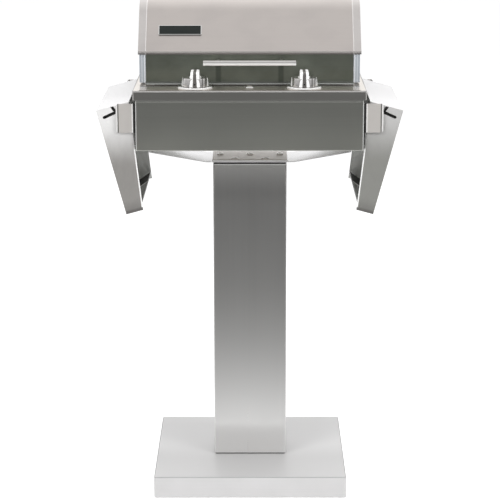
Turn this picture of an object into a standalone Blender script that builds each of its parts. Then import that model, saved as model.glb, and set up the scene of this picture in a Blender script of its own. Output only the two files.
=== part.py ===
# Electric grill on a square pedestal, with a lift-up hood and two fold-down side shelves.
# Units are metres. +Z is up, the front of the grill faces -Y, and the floor is at Z = 0.

import math

import bmesh
import bpy
from mathutils import Matrix, Vector

# Clearances
SEAT_GAP = 0.0003
RUNNING_GAP = 0.0006
HINGE_SIDE_GAP = 0.0008
FUSE_OVERLAP = 0.0006
CUT_MARGIN = 0.005
SMALL_BEND = 0.002

# Base and ballast
BASE_WIDTH = 0.440
BASE_DEPTH = 0.440
BASE_HEIGHT = 0.050
BASE_WALL = 0.002
BASE_LIP = 0.020
BASE_CORNER = 0.003
BALLAST_MARGIN = 0.030
BALLAST_THICKNESS = 0.012
FOOT_BOLT_RADIUS = 0.004
FOOT_BOLT_HEAD_RADIUS = 0.0075
FOOT_BOLT_HEAD_HEIGHT = 0.0053
FOOT_BOLT_INSET = 0.028

# Column
COLUMN_WIDTH = 0.168
COLUMN_DEPTH = 0.120
COLUMN_WALL = 0.002
COLUMN_CORNER = 0.003
COLUMN_TOP = 0.748
FOOT_SHADOW_GAP = 0.003
FOOT_PLATE_THICKNESS = 0.010
HEAD_SHADOW_GAP = 0.004
HEAD_PLUG_HEIGHT = 0.034
HEAD_PLUG_WALL = 0.003

# Cradle and cap plate
CRADLE_WALL = 0.002
CRADLE_HALF_FLAT = 0.100
CRADLE_HALF_WIDTH = 0.232
CRADLE_WING_ANGLE = math.radians(10.0)
CRADLE_FLANGE = 0.026
CRADLE_BEND = 0.004
CAP_PLATE_OVERHANG = 0.002
CAP_PLATE_THICKNESS = 0.0025
CAP_SCREW_RADIUS = 0.003
CAP_SCREW_HEAD_RADIUS = 0.008
CAP_SCREW_HEAD_HEIGHT = 0.0035
CAP_SCREW_TAIL = 0.005
CAP_SCREW_HOLE_DROP = 0.020
CAP_SCREW_COLUMN_PITCH = 0.069
CAP_SCREW_FRONT_Y = -0.040
CAP_SCREW_BACK_Y = 0.016
CRADLE_SCREW_ROW_PITCH = 0.084
CRADLE_SCREW_INSET = 0.015

# Housing
HOUSING_WIDTH = 0.503
HOUSING_FRONT = -0.196
HOUSING_REAR = 0.190
HOUSING_FLOOR = 0.803
HOUSING_WALL = 0.0015
HOUSING_LIP = 0.008
REAR_PANEL_THICKNESS = 0.0012
REAR_PANEL_MARGIN = 0.003
REAR_SCREW_RADIUS = 0.0016
REAR_SCREW_HEAD_RADIUS = 0.0032
REAR_SCREW_HEAD_HEIGHT = 0.0018
REAR_SCREW_LENGTH = 0.005
REAR_SCREW_RISES = (0.020, 0.053, 0.098)
VENT_LENGTH = 0.046
VENT_HEIGHT = 0.004
VENT_PITCH = 0.010
VENT_SPREAD = 0.0784
VENT_ROWS = 4
VENT_CENTRE_Z = 0.878
GLAND_X = -0.206
GLAND_Z = 0.862
GLAND_RADIUS = 0.008
GLAND_FLANGE_RADIUS = 0.011
GLAND_PROUD = 0.0075
GLAND_NECK = 0.008

# Top frame, ledge and panel
FRAME_WIDTH = 0.514
FRAME_FRONT = -0.199
FRAME_REAR = 0.193
LEDGE_HEIGHT = 0.937
FASCIA_HEIGHT = 0.0215
FRAME_CORNER = 0.0032
HOUSING_CORNER = 0.0025
PANEL_WIDTH = 0.486
PANEL_FRONT = -0.1975
PANEL_REAR = -0.108
PANEL_THICKNESS = 0.001

# Firebox
TUB_WIDTH = 0.446
TUB_FRONT = -0.0955
TUB_REAR = 0.1655
TUB_WALL = 0.001
TUB_FLOOR = 0.848
TUB_FLANGE = 0.009
TUB_CORNER = 0.008
DRAIN_LENGTH = 0.060
DRAIN_WIDTH = 0.020
REFLECTOR_WIDTH = 0.396
REFLECTOR_END_CLEARANCE = 0.014
REFLECTOR_TOP = 0.8635
ELEMENT_RADIUS = 0.004
ELEMENT_Z = 0.888
ELEMENT_LEG_PITCH = 0.047
ELEMENT_CENTRE_X = 0.1115
ELEMENT_TAIL_PITCH = 0.024
ELEMENT_BEND = 0.012
ELEMENT_FRONT_CLEARANCE = 0.020
ELEMENT_REAR_CLEARANCE = 0.028
ELEMENT_TAIL = 0.006
TERMINAL_BLOCK_MARGIN = 0.008
TERMINAL_BLOCK_HEIGHT = 0.018
TERMINAL_BLOCK_DEPTH = 0.014
SUPPORT_THICKNESS = 0.003
SUPPORT_LENGTH = 0.386
SUPPORT_SPREAD = 0.130
GRATE_ROD_RADIUS = 0.003
GRATE_ROD_PITCH = 0.0173
GRATE_RODS = 13
GRATE_CROSS_WIDTH = 0.008
GRATE_CROSS_HEIGHT = 0.007
GRATE_SINK = 0.0013
GRATE_TOP = 0.9305
GRATE_END_CLEARANCE = 0.004
GRATE_MIDDLE_GAP = 0.007
GRATE_RAIL_WIDTH = 0.012
GRATE_RAIL_DROP = 0.018
GRATE_RAIL_WALL = 0.0015
BAFFLE_HEIGHT = 0.060
BAFFLE_FOOT = 0.010
BAFFLE_WALL = 0.0012
BAFFLE_REAR_GAP = 0.003
BAFFLE_END_GAP = 0.004
GRATE_CROSS_INSET = 0.001

# Knobs and controls
KNOB_X = 0.1205
KNOB_Y = -0.157
BEZEL_RADIUS = 0.0395
BEZEL_HEIGHT = 0.003
KNOB_BASE_RADIUS = 0.0293
KNOB_RIM_RADIUS = 0.0265
KNOB_SKIRT_TOP = 0.961
KNOB_DISH = 0.003
KNOB_FIN_TOP = 0.9808
KNOB_FIN_BASE_WIDTH = 0.025
KNOB_FIN_TOP_WIDTH = 0.0185
KNOB_FIN_LENGTH = 0.061
KNOB_FIN_TOP_LENGTH = 0.048
KNOB_FIN_ROUND = 0.002
KNOB_EDGE = 0.0014
KNOB_MARK_RADIUS = 0.0018
KNOB_MARK_DEPTH = 0.003
KNOB_BORE_DEPTH = 0.020
SHAFT_RADIUS = 0.003
CONTROL_WIDTH = 0.040
CONTROL_HEIGHT = 0.028
CONTROL_CORNER = 0.003
CONTROL_TAB_WIDTH = 0.0063
CONTROL_TAB_LENGTH = 0.008
CONTROL_TAB_THICKNESS = 0.0008
CONTROL_TAB_PITCH = 0.012
SHAFT_DEPTH_IN_CONTROL = 0.018
LAMP_RADIUS = 0.0065
LAMP_BEZEL_RADIUS = 0.011
LAMP_BEZEL_HEIGHT = 0.0025
LAMP_BEZEL_EDGE = 0.0008
LAMP_LENS_HEIGHT = 0.004
LAMP_BODY_LENGTH = 0.024

# Hood
HOOD_WIDTH = 0.4985
HOOD_FRONT_WIDTH = 0.4925
HOOD_END_FLANGE = 0.0145
HOOD_SHEET = 0.0012
HOOD_FRONT = -0.105
HOOD_BOTTOM = 0.942
HOOD_FRONT_BOTTOM = 0.9395
HOOD_FRONT_TOP_GAP = 0.003
HOOD_FRONT_BEND = 0.0015
HOOD_END_FOOT_RUN = 0.025
HOOD_BEND_Z = 1.0115
HOOD_LIP = 0.0065
HOOD_BEND_RADIUS = 0.006
HOOD_SLOPE = math.radians(48.7)
HOOD_TOP = 1.119
HOOD_TOP_RADIUS = 0.071
HOOD_REAR = 0.187
HOOD_REAR_RADIUS = 0.060
HOOD_REAR_EDGE = 1.001
HOOD_HEM = 0.012
HINGE_Y = 0.165
HINGE_Z = 0.966
HINGE_PIN_RADIUS = 0.003
HINGE_PIN_HEAD_RADIUS = 0.006
HINGE_PIN_HEAD_HEIGHT = 0.0015
HINGE_BRACKET_WALL = 0.002
HINGE_BRACKET_WIDTH = 0.024
HINGE_BRACKET_FOOT = 0.016
HINGE_BRACKET_TOP_RADIUS = 0.0115
HINGE_PIN_TAIL = 0.003
HOOD_REST_LENGTH = 0.426

# Handle
HANDLE_RADIUS = 0.00575
HANDLE_LENGTH = 0.2055
HANDLE_END_ROUND = 0.0008
HANDLE_Y = -0.150
HANDLE_Z = 0.9915
HANDLE_POST_X = 0.070
HANDLE_POST_RADIUS = 0.005
HANDLE_SCREW_RADIUS = 0.002
HANDLE_SCREW_REACH = 0.010
HANDLE_SCREW_HEAD_RADIUS = 0.0045
HANDLE_SCREW_HEAD_HEIGHT = 0.0025

# Name plate, left bare
BADGE_WIDTH = 0.0965
BADGE_HEIGHT = 0.0255
BADGE_THICKNESS = 0.0028
BADGE_RIM = 0.0016
BADGE_RECESS = 0.0008
BADGE_X = -0.156
BADGE_UP_SLOPE = 0.0566

# Side shelves
SHELF_LENGTH = 0.242
SHELF_DEPTH = 0.368
SHELF_INNER_FLANGE = 0.075
SHELF_OUTER_FLANGE = 0.039
SHELF_END_LIP = 0.045
SHELF_END_LIP_LEAN = math.radians(20.7)
SHELF_END_LIP_CLEARANCE = 0.003
SHELF_WALL = 0.0015
SHELF_PIVOT_X = 0.2897
SHELF_PIVOT_Z = 0.890
SHELF_PIVOT_IN = 0.0138
SHELF_FOLD = math.radians(105.2)
SLOT_RADIUS = 0.0033
SLOT_RISE = 0.0336
SLOT_DRIFT = 0.0054
SLOT_MOUTH_IN = 0.0146
SLOT_MOUTH_RISE = 0.0116
SLOT_MOUTH_START = 0.0058

# Shelf brackets, pins and bumpers
BRACKET_WALL = 0.0025
BRACKET_OUTER_X = 0.2947
BRACKET_PLATE_GAP = 0.0035
BRACKET_BOTTOM = 0.843
BRACKET_TOP = 0.907
BRACKET_LEG_DEPTH = 0.040
BRACKET_TONGUE_DEPTH = 0.025
BRACKET_TONGUE_BOTTOM = 0.815
BRACKET_CORNER = 0.006
BRACKET_BEND = 0.003
SHELF_PIN_RADIUS = 0.003
SHELF_PIN_HEAD_RADIUS = 0.005
SHELF_PIN_HEAD_HEIGHT = 0.002
BRACKET_SCREW_RADIUS = 0.0025
BRACKET_SCREW_HEAD_RADIUS = 0.0045
BRACKET_SCREW_HEAD_HEIGHT = 0.0015
BRACKET_SCREW_INSET = 0.011
BRACKET_SCREW_TAIL = 0.004
SHELF_BUMPER_Z = 0.8085
SHELF_BUMPER_HEIGHT = 0.006

# Grease tray and runners
TRAY_WIDTH = 0.340
TRAY_FRONT = -0.060
TRAY_BOTTOM = 0.813
TRAY_HEIGHT = 0.020
TRAY_WALL = 0.001
TRAY_FACE_WIDTH = 0.364
TRAY_FACE_HEIGHT = 0.032
TRAY_FACE_THICKNESS = 0.0015
TRAY_PULL_WIDTH = 0.090
TRAY_PULL_REACH = 0.005
TRAY_SLOT_CLEARANCE = 0.0015
RUNNER_WALL = 0.001
RUNNER_LEDGE = 0.0135
RUNNER_FOOT = 0.012
RUNNER_GUIDE_HEIGHT = 0.009

# Supply lead, from the gland to the left control
LEAD_RADIUS = 0.003
LEAD_BEND = 0.006
LEAD_SETBACK = 0.0135
LEAD_END_Z = 0.919

# Facets round a circle
FINE_SIDES = 24
MIDDLE_SIDES = 16
SCREW_SIDES = 10
HOLE_SIDES = 8
BEND_STEPS = 3

# Places worked out from the sizes above
HOUSING_SIDE = HOUSING_WIDTH / 2
FRAME_UNDERSIDE = LEDGE_HEIGHT - HOUSING_WALL
PANEL_TOP = LEDGE_HEIGHT + SEAT_GAP + PANEL_THICKNESS
CRADLE_BOTTOM = COLUMN_TOP + HEAD_SHADOW_GAP
CAP_PLATE_BOTTOM = CRADLE_BOTTOM + CRADLE_WALL + SEAT_GAP
CAP_PLATE_TOP = CAP_PLATE_BOTTOM + CAP_PLATE_THICKNESS
HOUSING_TOP = FRAME_UNDERSIDE - SEAT_GAP
HOUSING_FLOOR_TOP = HOUSING_FLOOR + HOUSING_WALL
HOOD_SIDE = HOOD_FRONT_WIDTH / 2
BEZEL_TOP = PANEL_TOP + SEAT_GAP + BEZEL_HEIGHT
KNOB_BOTTOM = BEZEL_TOP + RUNNING_GAP
GRATE_ROD_Z = GRATE_TOP - GRATE_ROD_RADIUS
GRATE_CROSS_TOP = GRATE_ROD_Z - GRATE_ROD_RADIUS + GRATE_SINK
GRATE_SEAT = GRATE_CROSS_TOP - GRATE_CROSS_HEIGHT
BRACKET_FRONT = SHELF_DEPTH / 2 + BRACKET_PLATE_GAP + BRACKET_WALL

FINISHES = {
    "brushed": ((0.46, 0.45, 0.43), 1.0, 0.34),
    "pale": ((0.68, 0.67, 0.66), 1.0, 0.38),
    "satin": ((0.52, 0.49, 0.47), 1.0, 0.30),
    "polished": ((0.78, 0.76, 0.74), 1.0, 0.12),
    "dark_steel": ((0.10, 0.10, 0.10), 1.0, 0.45),
    "black": ((0.015, 0.017, 0.016), 0.0, 0.30),
    "rubber": ((0.02, 0.02, 0.02), 0.0, 0.70),
    "ceramic": ((0.82, 0.80, 0.74), 0.0, 0.40),
    "lens": ((0.70, 0.68, 0.64), 0.0, 0.15),
    "copper_lead": ((0.10, 0.10, 0.12), 0.0, 0.50),
}


# Scene, collections and materials

def clear_scene():
    for obj in list(bpy.data.objects):
        bpy.data.objects.remove(obj, do_unlink=True)


def new_collection(name):
    collection = bpy.data.collections.new(name)
    bpy.context.scene.collection.children.link(collection)
    return collection


def make_material(name, finish):
    colour, metallic, roughness = FINISHES[finish]
    material = bpy.data.materials.new(name)
    material.use_nodes = True
    shader = material.node_tree.nodes["Principled BSDF"]
    shader.inputs["Base Color"].default_value = (*colour, 1.0)
    shader.inputs["Metallic"].default_value = metallic
    shader.inputs["Roughness"].default_value = roughness
    return material


clear_scene()
PARTS = new_collection("electric_grill")
CUTTERS = new_collection("cutters")


# Mesh and object helpers

def put_box(bm, low, high):
    size = Vector(high) - Vector(low)
    centre = (Vector(high) + Vector(low)) / 2
    matrix = Matrix.Translation(centre) @ Matrix.Diagonal((*size, 1.0))
    return bmesh.ops.create_cube(bm, size=1.0, matrix=matrix)["verts"]


def axis_turn(axis):
    return Vector((0.0, 0.0, 1.0)).rotation_difference(Vector(axis)).to_matrix().to_4x4()


def put_rod(bm, radius, start, end, sides=SCREW_SIDES):
    start = Vector(start)
    run = Vector(end) - start
    matrix = Matrix.Translation(start + run / 2) @ axis_turn(run.normalized())
    bmesh.ops.create_cone(
        bm, cap_ends=True, segments=sides, radius1=radius, radius2=radius,
        depth=run.length, matrix=matrix)


def finish_object(name, mesh, finish):
    obj = bpy.data.objects.new(name, mesh)
    PARTS.objects.link(obj)
    obj.data.materials.append(make_material(name, finish))
    return obj


def mesh_object(name, bm, finish, smooth=False):
    mesh = bpy.data.meshes.new(name)
    bm.to_mesh(mesh)
    bm.free()
    if smooth:
        mesh.shade_smooth()
        mesh.set_sharp_from_angle(angle=math.radians(35.0))
    return finish_object(name, mesh, finish)


def cutter_object(name, bm):
    mesh = bpy.data.meshes.new(name)
    bm.to_mesh(mesh)
    bm.free()
    obj = bpy.data.objects.new(name, mesh)
    CUTTERS.objects.link(obj)
    obj.hide_render = True
    obj.display_type = "WIRE"
    return obj


def evaluated_mesh(obj):
    bpy.context.view_layer.update()
    depsgraph = bpy.context.evaluated_depsgraph_get()
    mesh = bpy.data.meshes.new_from_object(obj.evaluated_get(depsgraph), depsgraph=depsgraph)
    mesh.transform(obj.matrix_world)
    return mesh


def combine(obj, tool, operation):
    modifier = obj.modifiers.new(operation.lower(), "BOOLEAN")
    modifier.object = tool
    modifier.operation = operation
    modifier.solver = "EXACT"
    return obj


def cut(obj, bm):
    return combine(obj, cutter_object(obj.name + "_cutter", bm), "DIFFERENCE")


def join(obj, bm):
    return combine(obj, cutter_object(obj.name + "_addition", bm), "UNION")


def thicken(obj, wall, offset=-1.0):
    modifier = obj.modifiers.new("wall", "SOLIDIFY")
    modifier.thickness = wall
    modifier.offset = offset
    modifier.use_even_offset = True
    return obj


def mirrored(obj, name, finish, axis=0):
    scale = [1.0, 1.0, 1.0]
    scale[axis] = -1.0
    mesh = evaluated_mesh(obj)
    mesh.transform(Matrix.Diagonal((*scale, 1.0)))
    mesh.flip_normals()
    mesh.materials.clear()
    return finish_object(name, mesh, finish)


def turned(name, profile, centre, finish, axis=(0.0, 0.0, 1.0), sides=FINE_SIDES):
    ring = profile[0] == profile[-1]
    bm = bmesh.new()
    verts = [bm.verts.new((radius, 0.0, height)) for radius, height in (profile[:-1] if ring else profile)]
    for first, second in zip(verts, verts[1:]):
        bm.edges.new((first, second))
    if ring:
        bm.edges.new((verts[-1], verts[0]))
    obj = mesh_object(name, bm, finish)
    obj.matrix_world = Matrix.Translation(Vector(centre)) @ axis_turn(axis)
    screw = obj.modifiers.new("turn", "SCREW")
    screw.steps = sides
    screw.render_steps = sides
    screw.use_merge_vertices = True
    screw.merge_threshold = 0.00001
    screw.use_smooth_shade = True
    return obj


def headed(head_radius, head_height, radius, length, sink=FUSE_OVERLAP):
    # Profile of a screw or pin: its head above Z = 0, sunk a little into what it is fused to, and its shank.
    return [
        (0.0, head_height), (head_radius * 0.75, head_height), (head_radius, head_height * 0.45),
        (head_radius, -sink), (radius, -sink), (radius, -length), (0.0, -length)]


def put_fasteners(bm, profile, places, sides=SCREW_SIDES):
    # One turned fastener, copied to each place with its head pointing along that place's axis.
    pattern = turned("fastener_pattern", profile, (0.0, 0.0, 0.0), "polished", sides=sides)
    mesh = evaluated_mesh(pattern)
    bpy.data.objects.remove(pattern, do_unlink=True)
    for centre, axis in places:
        before = len(bm.verts)
        bm.from_mesh(mesh)
        bm.verts.ensure_lookup_table()
        bmesh.ops.transform(
            bm, matrix=Matrix.Translation(Vector(centre)) @ axis_turn(axis), verts=bm.verts[before:])


def add_fasteners(obj, profile, places, sides=SCREW_SIDES):
    # Fasteners fixed to the piece that carries them, sunk a little so that the two are one solid.
    bm = bmesh.new()
    put_fasteners(bm, profile, places, sides)
    return join(obj, bm)


def hang_on(obj, pivot):
    obj.parent = pivot
    obj.matrix_parent_inverse = pivot.matrix_world.inverted()
    return obj


def pivot_at(name, place):
    pivot = bpy.data.objects.new(name, None)
    pivot.empty_display_size = 0.03
    pivot.location = place
    PARTS.objects.link(pivot)
    bpy.context.view_layer.update()
    return pivot


# Outlines in two directions

def filleted(points, radii):
    # Rounds the inner corners of an open line. A radius of 0 leaves the corner sharp.
    line = [Vector(points[0])]
    for before, corner, after, radius in zip(points, points[1:], points[2:], radii):
        corner = Vector(corner)
        back = (Vector(before) - corner).normalized()
        ahead = (Vector(after) - corner).normalized()
        if radius == 0.0:
            line.append(corner)
            continue
        half = back.angle(ahead) / 2
        reach = radius / math.tan(half)
        centre = corner + (back + ahead).normalized() * (radius / math.sin(half))
        start = corner + back * reach - centre
        sweep = start.angle_signed(corner + ahead * reach - centre)
        steps = max(BEND_STEPS, round(abs(sweep) * radius / 0.012))
        for step in range(steps + 1):
            turn = Matrix.Rotation(-sweep * step / steps, 2)
            line.append(centre + turn @ start)
    line.append(Vector(points[-1]))
    return line


def offset_line(points, distance):
    # Moves an open line to its right-hand side by a distance, with mitred corners.
    points = [Vector(point) for point in points]
    sides = []
    for first, second in zip(points, points[1:]):
        run = (second - first).normalized()
        sides.append(Vector((run.y, -run.x)))
    moved = [points[0] + sides[0] * distance]
    for corner, side, following in zip(points[1:], sides, sides[1:]):
        mitre = (side + following).normalized()
        moved.append(corner + mitre * (distance / mitre.dot(side)))
    moved.append(points[-1] + sides[-1] * distance)
    return moved


PLANES = {
    "XY": (Vector((1, 0, 0)), Vector((0, 1, 0)), Vector((0, 0, 1))),
    "XZ": (Vector((1, 0, 0)), Vector((0, 0, 1)), Vector((0, 1, 0))),
    "YZ": (Vector((0, 1, 0)), Vector((0, 0, 1)), Vector((1, 0, 0))),
}


def bent_surface(line, plane, start, end, metal_right=True):
    # An open line swept straight across its plane. Its normals point away from the metal side.
    across, up, along = PLANES[plane]
    bm = bmesh.new()
    verts = [bm.verts.new(across * point[0] + up * point[1] + along * start) for point in line]
    edges = [bm.edges.new(pair) for pair in zip(verts, verts[1:])]
    swept = bmesh.ops.extrude_edge_only(bm, edges=edges)["geom"]
    new_verts = [item for item in swept if isinstance(item, bmesh.types.BMVert)]
    bmesh.ops.translate(bm, vec=along * (end - start), verts=new_verts)
    run = Vector(line[1]) - Vector(line[0])
    away = across * -run[1] + up * run[0]
    if not metal_right:
        away = -away
    bm.normal_update()
    first_face = edges[0].link_faces[0]
    if first_face.normal.dot(away) < 0.0:
        bmesh.ops.reverse_faces(bm, faces=bm.faces)
    return bm


def bent_sheet(name, line, plane, start, end, wall, finish, metal_right=True):
    bm = bent_surface(line, plane, start, end, metal_right)
    obj = mesh_object(name, bm, finish, smooth=True)
    return thicken(obj, wall)


def round_corners(bm, verts, radius, segments=4):
    bmesh.ops.bevel(
        bm, geom=list(verts), offset=radius, offset_type="OFFSET", segments=segments,
        profile=0.5, affect="VERTICES", clamp_overlap=True)


def round_edges(bm, edges, radius, segments=2):
    bmesh.ops.bevel(
        bm, geom=list(edges), offset=radius, offset_type="OFFSET", segments=segments,
        profile=0.5, affect="EDGES", clamp_overlap=True)


def edges_along(bm, axis):
    return [edge for edge in bm.edges
            if abs((edge.verts[0].co - edge.verts[1].co).normalized()[axis]) > 0.999]


def open_face(bm, direction, lip=0.0):
    # Opens the face that looks in a direction, leaving a flat lip of a given width round it.
    bm.normal_update()
    face = max(bm.faces, key=lambda item: item.normal.dot(Vector(direction)))
    if lip > 0.0:
        bmesh.ops.inset_region(bm, faces=[face], thickness=lip, use_even_offset=True)
    bmesh.ops.delete(bm, geom=[face], context="FACES_ONLY")


def folded_box(name, low, high, openings, wall, corner, finish):
    bm = bmesh.new()
    put_box(bm, low, high)
    for direction, lip in openings:
        open_face(bm, direction, lip)
    round_edges(bm, [edge for edge in edges_along(bm, 2) if not edge.is_boundary], corner)
    return thicken(mesh_object(name, bm, finish), wall)


def plain_box(name, low, high, finish, rounding=0.0):
    bm = bmesh.new()
    put_box(bm, low, high)
    if rounding:
        round_edges(bm, edges_along(bm, 2), rounding)
    return mesh_object(name, bm, finish)


def capsule(bm, first, second, radius, start, end, sides=12):
    # A slot-shaped prism in the XZ plane, running from Y = start to Y = end.
    first, second = Vector(first), Vector(second)
    heading = math.atan2(second.y - first.y, second.x - first.x)
    outline = []
    for centre, begin in ((second, heading - math.pi / 2), (first, heading + math.pi / 2)):
        for step in range(sides // 2 + 1):
            angle = begin + math.pi * step / (sides // 2)
            outline.append(centre + Vector((math.cos(angle), math.sin(angle))) * radius)
    verts = [bm.verts.new((point.x, start, point.y)) for point in outline]
    face = bm.faces.new(verts)
    prism = bmesh.ops.extrude_face_region(bm, geom=[face])["geom"]
    moved = [item for item in prism if isinstance(item, bmesh.types.BMVert)]
    bmesh.ops.translate(bm, vec=(0.0, end - start, 0.0), verts=moved)
    bmesh.ops.recalc_face_normals(bm, faces=bm.faces)


# Pedestal

def corner_places(half_x, half_y, z):
    return [(x, y, z) for x in (-half_x, half_x) for y in (-half_y, half_y)]


def build_pedestal():
    bolt_x = COLUMN_WIDTH / 2 - FOOT_BOLT_INSET
    bolt_y = COLUMN_DEPTH / 2 - FOOT_BOLT_INSET
    hole = FOOT_BOLT_RADIUS + SEAT_GAP
    foot_bottom = BASE_HEIGHT + SEAT_GAP
    foot_top = foot_bottom + FOOT_PLATE_THICKNESS

    def bolt_holes():
        bm = bmesh.new()
        for x, y, _ in corner_places(bolt_x, bolt_y, 0.0):
            put_rod(bm, hole, (x, y, -CUT_MARGIN), (x, y, foot_top + CUT_MARGIN))
        return bm

    base = folded_box(
        "base_shell", (-BASE_WIDTH / 2, -BASE_DEPTH / 2, 0.0),
        (BASE_WIDTH / 2, BASE_DEPTH / 2, BASE_HEIGHT),
        [((0, 0, -1), BASE_LIP)], BASE_WALL, BASE_CORNER, "pale")
    cut(base, bolt_holes())

    ballast_top = BASE_HEIGHT - BASE_WALL - SEAT_GAP
    ballast_bottom = ballast_top - BALLAST_THICKNESS
    half_x = BASE_WIDTH / 2 - BALLAST_MARGIN
    half_y = BASE_DEPTH / 2 - BALLAST_MARGIN
    ballast = plain_box(
        "base_ballast", (-half_x, -half_y, ballast_bottom), (half_x, half_y, ballast_top), "dark_steel")
    add_fasteners(
        ballast,
        headed(FOOT_BOLT_HEAD_RADIUS, FOOT_BOLT_HEAD_HEIGHT, FOOT_BOLT_RADIUS, foot_top - ballast_bottom),
        [(place, (0, 0, -1)) for place in corner_places(bolt_x, bolt_y, ballast_bottom)], 6)

    inner_x = COLUMN_WIDTH / 2 - COLUMN_WALL - SEAT_GAP
    inner_y = COLUMN_DEPTH / 2 - COLUMN_WALL - SEAT_GAP
    foot = plain_box(
        "column_foot_plate", (-inner_x, -inner_y, foot_bottom), (inner_x, inner_y, foot_top),
        "dark_steel", COLUMN_CORNER)
    cut(foot, bolt_holes())

    folded_box(
        "column_tube", (-COLUMN_WIDTH / 2, -COLUMN_DEPTH / 2, BASE_HEIGHT + FOOT_SHADOW_GAP),
        (COLUMN_WIDTH / 2, COLUMN_DEPTH / 2, COLUMN_TOP),
        [((0, 0, -1), 0.0), ((0, 0, 1), 0.0)], COLUMN_WALL, COLUMN_CORNER, "brushed")

    plug_top = CRADLE_BOTTOM - SEAT_GAP
    plug = folded_box(
        "column_head_plug", (-inner_x, -inner_y, plug_top - HEAD_PLUG_HEIGHT), (inner_x, inner_y, plug_top),
        [((0, 0, -1), 0.0)], HEAD_PLUG_WALL, COLUMN_CORNER, "dark_steel")
    cut(plug, cap_screw_holes())


def cap_screw_places():
    # Five screws: two in the front row and three behind them.
    half = CAP_SCREW_COLUMN_PITCH / 2
    front_row = [(x, CAP_SCREW_FRONT_Y) for x in (-half, half)]
    return front_row + [(x, CAP_SCREW_BACK_Y) for x in (-2 * half, 0.0, 2 * half)]


def cap_screw_holes():
    bm = bmesh.new()
    for x, y in cap_screw_places():
        put_rod(
            bm, CAP_SCREW_RADIUS + SEAT_GAP, (x, y, CRADLE_BOTTOM - CAP_SCREW_HOLE_DROP),
            (x, y, CAP_PLATE_TOP + CUT_MARGIN), HOLE_SIDES)
    return bm


# Cradle between the column and the housing

def build_cradle():
    wing_run = CRADLE_HALF_WIDTH - CRADLE_HALF_FLAT
    wing_top = CRADLE_BOTTOM + wing_run * math.tan(CRADLE_WING_ANGLE)
    flange_top = HOUSING_FLOOR - SEAT_GAP
    half_line = [
        (0.0, CRADLE_BOTTOM), (CRADLE_HALF_FLAT, CRADLE_BOTTOM), (CRADLE_HALF_WIDTH, wing_top),
        (CRADLE_HALF_WIDTH, flange_top), (CRADLE_HALF_WIDTH - CRADLE_FLANGE, flange_top)]
    right = filleted(half_line, [CRADLE_BEND * 3, CRADLE_BEND, CRADLE_BEND])
    left = [(-point[0], point[1]) for point in reversed(right[1:])]
    cradle = bent_sheet(
        "cradle", left + right, "XZ", -COLUMN_DEPTH / 2, COLUMN_DEPTH / 2, CRADLE_WALL, "pale",
        metal_right=False)
    cut(cradle, cap_screw_holes())
    under_flange = flange_top - CRADLE_WALL
    add_fasteners(
        cradle,
        headed(CAP_SCREW_HEAD_RADIUS, CAP_SCREW_HEAD_HEIGHT, CAP_SCREW_RADIUS,
               HOUSING_FLOOR_TOP - under_flange + CAP_SCREW_TAIL),
        [((x, y, under_flange), (0, 0, -1)) for x, y in cradle_screw_places()], HOLE_SIDES)

    half_x = COLUMN_WIDTH / 2 + CAP_PLATE_OVERHANG
    cap = plain_box(
        "column_cap_plate", (-half_x, -COLUMN_DEPTH / 2, CAP_PLATE_BOTTOM),
        (half_x, COLUMN_DEPTH / 2, CAP_PLATE_TOP), "satin", COLUMN_CORNER)
    shank = CAP_PLATE_TOP - (CRADLE_BOTTOM - SEAT_GAP - HEAD_PLUG_WALL) + CAP_SCREW_TAIL
    add_fasteners(
        cap, headed(CAP_SCREW_HEAD_RADIUS, CAP_SCREW_HEAD_HEIGHT, CAP_SCREW_RADIUS, shank),
        [((x, y, CAP_PLATE_TOP), (0, 0, 1)) for x, y in cap_screw_places()])


def cradle_screw_places():
    x = CRADLE_HALF_WIDTH - CRADLE_SCREW_INSET
    half = CRADLE_SCREW_ROW_PITCH / 2
    return [(side * x, y) for side in (-1, 1) for y in (-half, half)]


# Housing and its rear panel

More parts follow.
